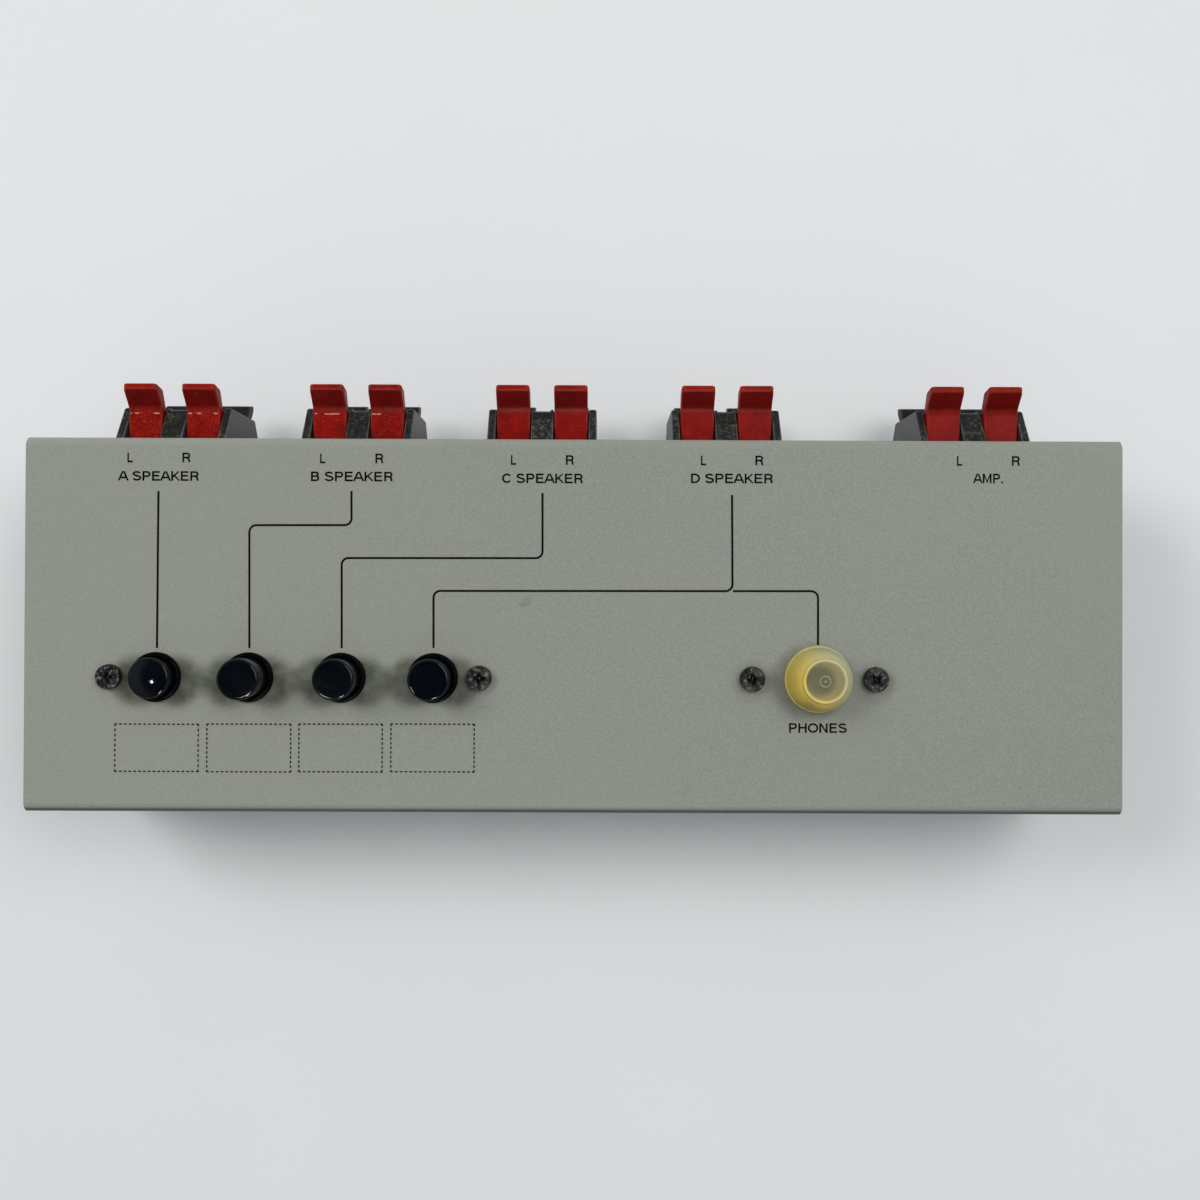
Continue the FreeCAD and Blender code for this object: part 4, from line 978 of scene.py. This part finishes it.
# The moulding's gate: a low ring and a nub in its middle, as radius and depth below the lip.
GATE_RING = ((0.95, 0.52), (1.0, 0.4), (1.12, 0.36), (1.24, 0.4), (1.3, 0.52))
GATE_NUB = ((0.0, 0.36), (0.22, 0.4), (0.3, 0.52), (0.0, 0.52))
cap_low, cap_high = box_of("dust_cap")
cap_top = cap_high.z
cap_radius = (cap_high.x - cap_low.x) / 2
roof = cap_top - DISH_DEPTH - CAP_ROOF


def below(height, outline):
    """An outline of radii and depths below a height, as radii and heights."""
    return [(radius, height - depth) for radius, depth in outline]


cap_outline = [(cap_radius, PANEL)]
cap_outline += arc((cap_radius - BRIM_ROUND, PANEL + BRIM_HEIGHT), BRIM_ROUND, 0, 90, 4)
cap_outline += [(radius, PANEL + height) for radius, height in CAP_WALL]
cap_outline += arc((LIP_RADIUS, cap_top - LIP_ROUND), LIP_ROUND, 0, 180, 6)
cap_outline += below(cap_top, CAP_DISH) + below(roof, CAP_INSIDE) + [(CAP_INNER, PANEL)]
for_node("jack_dust_cap", "dust_cap",
         joined([turned(cap_outline, (JACK_X, ROW), steps=96),
                 turned(below(cap_top, GATE_RING), (JACK_X, ROW), steps=40),
                 turned(below(cap_top, GATE_NUB), (JACK_X, ROW), steps=20)]))

# ---- Terminal blocks and levers ------------------------------------------------------------------
BLOCK_ROUND = 0.28
LEVER_ROUND = 0.42
# Only edges further back than this are rounded over, on the blocks and on the levers.
block_free = REAR + 0.15
lever_free = block_free + 0.4
for name in BLOCKS:
    node = f"terminal_housing_{name}"
    for_node(f"block_{name}", node, softened(node, BLOCK_ROUND, outside=lambda m: m.y > block_free))
for name in BLOCKS:
    for side in ("left", "right"):
        for colour in ("red", "black"):
            node = f"lever_{name}_{side}_{colour}"
            mesh = softened(node, LEVER_ROUND, outside=lambda m: m.y > lever_free, segments=3)
            for_node(f"{colour}_lever_{name}_{side}", node, mesh)

# ---- Print on the panel --------------------------------------------------------------------------
INK_DEPTH = 0.05
LINE_WIDTH = 0.46
LINE_CORNER = 1.5
ink_height = PANEL + 0.005
# A run from each speaker block's words to its button, and one that branches off to the jack.
routes = [
    [(-90.18, 22.53), (-90.28, -11.51)],
    [(-48.33, 22.7), (-48.29, 15.3), (-70.43, 15.2), (-70.27, -11.43)],
    [(-6.9, 22.43), (-6.84, 8.3), (-50.38, 8.15), (-50.27, -11.35)],
    [(34.22, 22.16), (34.39, 1.3), (-30.44, 1.1), (-30.38, -11.28)],
    [(34.5, 1.3), (52.94, 1.36), (52.97, -10.31)],
]
lines = routed_lines().grown(runs_mesh(routes, ink_height), Width=LINE_WIDTH * MM,
                             Thickness=INK_DEPTH * MM, Corner=LINE_CORNER * MM, Finish=ink)
piece("printed_routes", lines, ink)

DASH = 0.6
DASH_WIDTH = 0.29
DASH_PITCH = 1.0
dash_inset = DASH / 2 - DASH_WIDTH / 2
boxes = [((-99.26, -28.0), (-81.23, -38.21)), ((-79.35, -27.92), (-61.21, -38.24)),
         ((-59.43, -27.85), (-41.4, -38.17)), ((-39.51, -27.77), (-21.48, -38.09))]
sides = []
for (left, top), (right, bottom) in boxes:
    for y in (top, bottom):
        sides.append([(left + dash_inset, y), (right - dash_inset, y)])
    for x in (left, right):
        sides.append([(x, top - dash_inset), (x, bottom + dash_inset)])
dashes = dashed_lines().grown(runs_mesh(sides, ink_height), Dash=DASH * MM, Width=DASH_WIDTH * MM,
                              Thickness=INK_DEPTH * MM, Pitch=DASH_PITCH * MM, Finish=ink)
piece("printed_label_boxes", dashes, ink)

# Words: height of a capital, width of a stroke, and width of a space as a share of the height.
LETTER_HEIGHT = 2.1
STROKE = 0.38
WORD_SPACE = 0.38
CURVE_STEP = 18
SHARPEST_MITRE = 0.35
CLOSED_WITHIN = 1e-6
# A letter is drawn one capital high: its advance, then the middle lines of its strokes.
HALF = STROKE / LETTER_HEIGHT / 2
TOP, BASE, STEM = 1 - HALF, HALF, 0.18


def curve(x, y, wide, high, start, end):
    """A letter's round stroke about (x, y), angles in degrees."""
    steps = max(2, round(abs(end - start) / CURVE_STEP))
    return arc((x, y), wide, start, end, steps, high)


def bowl(straight, upper, lower):
    """From the stem out along upper, round, and back along lower."""
    reach = (upper - lower) / 2
    return [(STEM, upper)] + curve(straight, (upper + lower) / 2, reach, reach, 90, -90) + [(STEM, lower)]


stem = [(STEM, 0), (STEM, 1)]
right_stem = [(0.83, 0), (0.83, 1)]
LETTERS = {
    "A": (0.93, [(0.02, 0), (0.42, 1)], [(0.52, 1), (0.91, 0)], [(0.18, 0.34), (0.75, 0.34)]),
    "B": (0.95, stem, bowl(0.55, TOP, 0.53), bowl(0.56, 0.53, BASE)),
    "C": (1.0, curve(0.52, 0.5, 0.39, 0.5 - HALF, 38, 322)),
    "D": (1.0, stem, [(STEM, TOP)] + curve(0.46, 0.5, 0.4, 0.5 - HALF, 90, -90) + [(STEM, BASE)]),
    "E": (0.93, stem, [(STEM, TOP), (0.83, TOP)], [(STEM, 0.53), (0.78, 0.53)],
          [(STEM, BASE), (0.85, BASE)]),
    "H": (1.01, stem, right_stem, [(STEM, 0.53), (0.83, 0.53)]),
    "K": (0.93, stem, [(STEM, 0.36), (0.82, 1.02)], [(0.38, 0.57), (0.87, -0.02)]),
    "L": (0.78, stem, [(STEM, BASE), (0.76, BASE)]),
    "M": (1.16, stem, [(0.98, 0), (0.98, 1)], [(0.2, 1), (0.58, 0.03), (0.96, 1)]),
    "N": (1.01, stem, right_stem, [(0.2, 1), (0.81, 0)]),
    "O": (1.08, curve(0.54, 0.5, 0.43, 0.5 - HALF, 0, 360)),
    "P": (0.93, stem, bowl(0.56, TOP, 0.47)),
    "R": (1.0, stem, bowl(0.58, TOP, 0.49),
          [(0.52, 0.49), (0.7, 0.43), (0.76, 0.28), (0.78, 0.1), (0.83, -0.01)]),
    "S": (0.93, curve(0.46, 0.73, 0.31, TOP - 0.73, 15, 270)[:-1]
          + curve(0.47, 0.295, 0.345, 0.295 - BASE, 90, -165)),
    ".": (0.39, [(STEM, 0), (STEM, 2.2 * HALF)]),
}
# The letters that stand alone over a block, and how wide each is.
SIDE_LETTERS = {"L": 1.32, "R": 1.76}
LABELS = {
    "a": [("A SPEAKER", (-99.02, -81.43), 25.8), ("L", -96.29, 29.78), ("R", -84.15, 29.83)],
    "b": [("B SPEAKER", (-57.13, -39.35), 25.85), ("L", -54.52, 29.73), ("R", -42.3, 29.78)],
    "c": [("C SPEAKER", (-15.7, 1.87), 25.6), ("L", -13.12, 29.57), ("R", -0.97, 29.62)],
    "d": [("D SPEAKER", (25.31, 43.11), 25.75), ("L", 28.12, 29.63), ("R", 40.16, 29.68)],
    "amp": [("AMP.", (86.53, 93.05), 25.97), ("L", 83.7, 29.75), ("R", 95.86, 29.8)],
    "phones": [("PHONES", (46.73, 59.3), -28.3)],
}


def stroke_outline(path):
    """The corners of a stroke of even width along a path, mitred; a closed path gives two loops."""
    closed = math.dist(path[0], path[-1]) < CLOSED_WITHIN
    points = path[:-1] if closed else path
    sides = ([], [])
    for n, point in enumerate(points):
        before = points[n - 1] if n or closed else None
        after = points[(n + 1) % len(points)] if n < len(points) - 1 or closed else None
        come = Vector(point) - Vector(before) if before else Vector(after) - Vector(point)
        go = Vector(after) - Vector(point) if after else come
        come, go = come.normalized(), go.normalized()
        across = Vector((-come.y - go.y, come.x + go.x)).normalized()
        reach = HALF / max(SHARPEST_MITRE, across.dot(Vector((-go.y, go.x))))
        for side, sign in zip(sides, (1, -1)):
            x, y = Vector(point) + sign * reach * across
            side.append((x, min(1.0, max(0.0, y))))
    return list(sides) if closed else [sides[0] + sides[1][::-1]]


def stroke_plate(path, spot, size):
    """One stroke as a thin plate of ink, placed and sized in mm."""
    loops = [[(spot[0] + x * size[0], spot[1] + y * size[1]) for x, y in loop]
             for loop in stroke_outline(path)]
    low, high = ink_height - INK_DEPTH / 2, ink_height + INK_DEPTH / 2
    if len(loops) == 1:
        return prism(loops[0], low, high)
    shape = bmesh.new()
    rings = [loop_at(shape, loop, height) for loop in loops for height in (low, high)]
    order = [rings[0], rings[1], rings[3], rings[2]]
    for first, second in zip(order, order[1:] + order[:1]):
        wrap(shape, first, second)
    bmesh.ops.recalc_face_normals(shape, faces=shape.faces)
    return shape


def word_layers(words, x, y):
    """The strokes of some words in layers that don't cross: between two x, or about one for one letter."""
    if words in SIDE_LETTERS:
        x = (x - SIDE_LETTERS[words] / 2, x + SIDE_LETTERS[words] / 2)
    pen, placed = 0.0, []
    for letter in words:
        if letter == " ":
            pen += WORD_SPACE
            continue
        advance, *strokes = LETTERS[letter]
        placed.append((pen, strokes))
        pen += advance
    reaches = [start + point[0] for start, strokes in placed for stroke in strokes for point in stroke]
    low, high = min(reaches) - HALF, max(reaches) + HALF
    wide = (x[1] - x[0]) / (high - low)
    layers = {}
    for start, strokes in placed:
        for n, stroke in enumerate(strokes):
            spot = (x[0] + (start - low) * wide, y - LETTER_HEIGHT / 2)
            layers.setdefault(n, []).append(stroke_plate(stroke, spot, (wide, LETTER_HEIGHT)))
    return layers


def label_mesh(label):
    """All the words of a label, their strokes united."""
    layers = {}
    for words in label:
        for n, plates in word_layers(*words).items():
            layers.setdefault(n, []).extend(plates)
    whole = None
    for n in sorted(layers):
        layer = loose_object("strokes", joined([as_mesh(plate) for plate in layers[n]]))
        if whole is None:
            whole = layer
        else:
            whole = loose_object("strokes", combined(whole, "UNION", layer))
    return evaluated_mesh(whole)


for name, label in LABELS.items():
    piece(f"printed_label_{name}", label_mesh(label), ink)

# ---- Nodes that stay as they are -----------------------------------------------------------------
for name, made in nodes.items():
    if made.hide_render:
        continue
    if not made.material_slots:
        made.data.materials.append(None)
    for place in made.material_slots:
        place.material = FINISHES[SLOT_OF[name]]

# ---- Floor and light -----------------------------------------------------------------------------
FLOOR_HALF = 1500.0
FLOOR_DEPTH = 10.0
FLOOR_HEIGHT = -0.02


def floor_finish():
    """Plain pale table top."""
    f = Finish("floor")
    base = f.tint(f.noise(120.0, 3.0), paint(229, 230, 232), paint(235, 236, 238))
    return f.done(Base_Color=base, Roughness=0.6 + 0.1 * f.noise(40.0, 2.0), Specular_IOR_Level=0.2)


corners = [(-FLOOR_HALF, -FLOOR_HALF), (FLOOR_HALF, -FLOOR_HALF), (FLOOR_HALF, FLOOR_HALF),
           (-FLOOR_HALF, FLOOR_HALF)]
floor_mesh = as_mesh(prism(corners, FLOOR_HEIGHT - FLOOR_DEPTH, FLOOR_HEIGHT), "floor")
floor_mesh.materials.append(floor_finish())
loose_object("floor", floor_mesh)

# Lamps are placed in metres and look at this point, in the middle of the part.
LAMP_AIM = Vector((0.0, 0.0, 0.02))
DAYLIGHT = (1.0, 0.99, 0.975)


def soft_lamp(name, spot, size, power, colour, diffuse=True, gloss=True):
    """A square lamp of some watts; diffuse and gloss say what shows its light."""
    lamp = bpy.data.lights.new(name, "AREA")
    lamp.size = size
    lamp.energy = power
    lamp.color = colour
    made = loose_object(name, lamp)
    made.location = spot
    made.rotation_euler = (LAMP_AIM - Vector(spot)).to_track_quat("-Z", "Y").to_euler()
    made.visible_diffuse = diffuse
    made.visible_glossy = gloss


soft_lamp("window", (0.5, 0.3, 1.1), 0.7, 6.3, DAYLIGHT)
soft_lamp("far_window", (-0.75, 0.4, 0.9), 0.5, 5.4, DAYLIGHT, gloss=False)
soft_lamp("front_glint", (0.02, -0.58, 0.85), 0.15, 5.0, (1.0, 1.0, 1.0), diffuse=False)
soft_lamp("bench_glint", (-0.35, -0.185, 1.173), 0.075, 1.15, (0.97, 0.98, 1.0), diffuse=False)

world = bpy.data.worlds.new("room")
world.use_nodes = True
bpy.context.scene.world = world
room = Graph(world.node_tree)
room.tree.nodes.clear()
direction = room.node("ShaderNodeTexCoord", out="Generated")
height = room.node("ShaderNodeSeparateXYZ", links={0: direction}, out="Z")
# The ceiling straight above is dark, so that level gloss stays dark, and the front is dimmer.
ceiling = room.smooth(height, 0.8, 0.93, 0.5, 0.016)
rearward = room.smooth(height.out("Y"), -0.9, 0.6, 0.64, 1.14)
light = room.node("ShaderNodeBackground", None,
                  {"Color": (0.93, 0.975, 1.0, 1.0), "Strength": ceiling * rearward})
room.node("ShaderNodeOutputWorld", None, {"Surface": light})
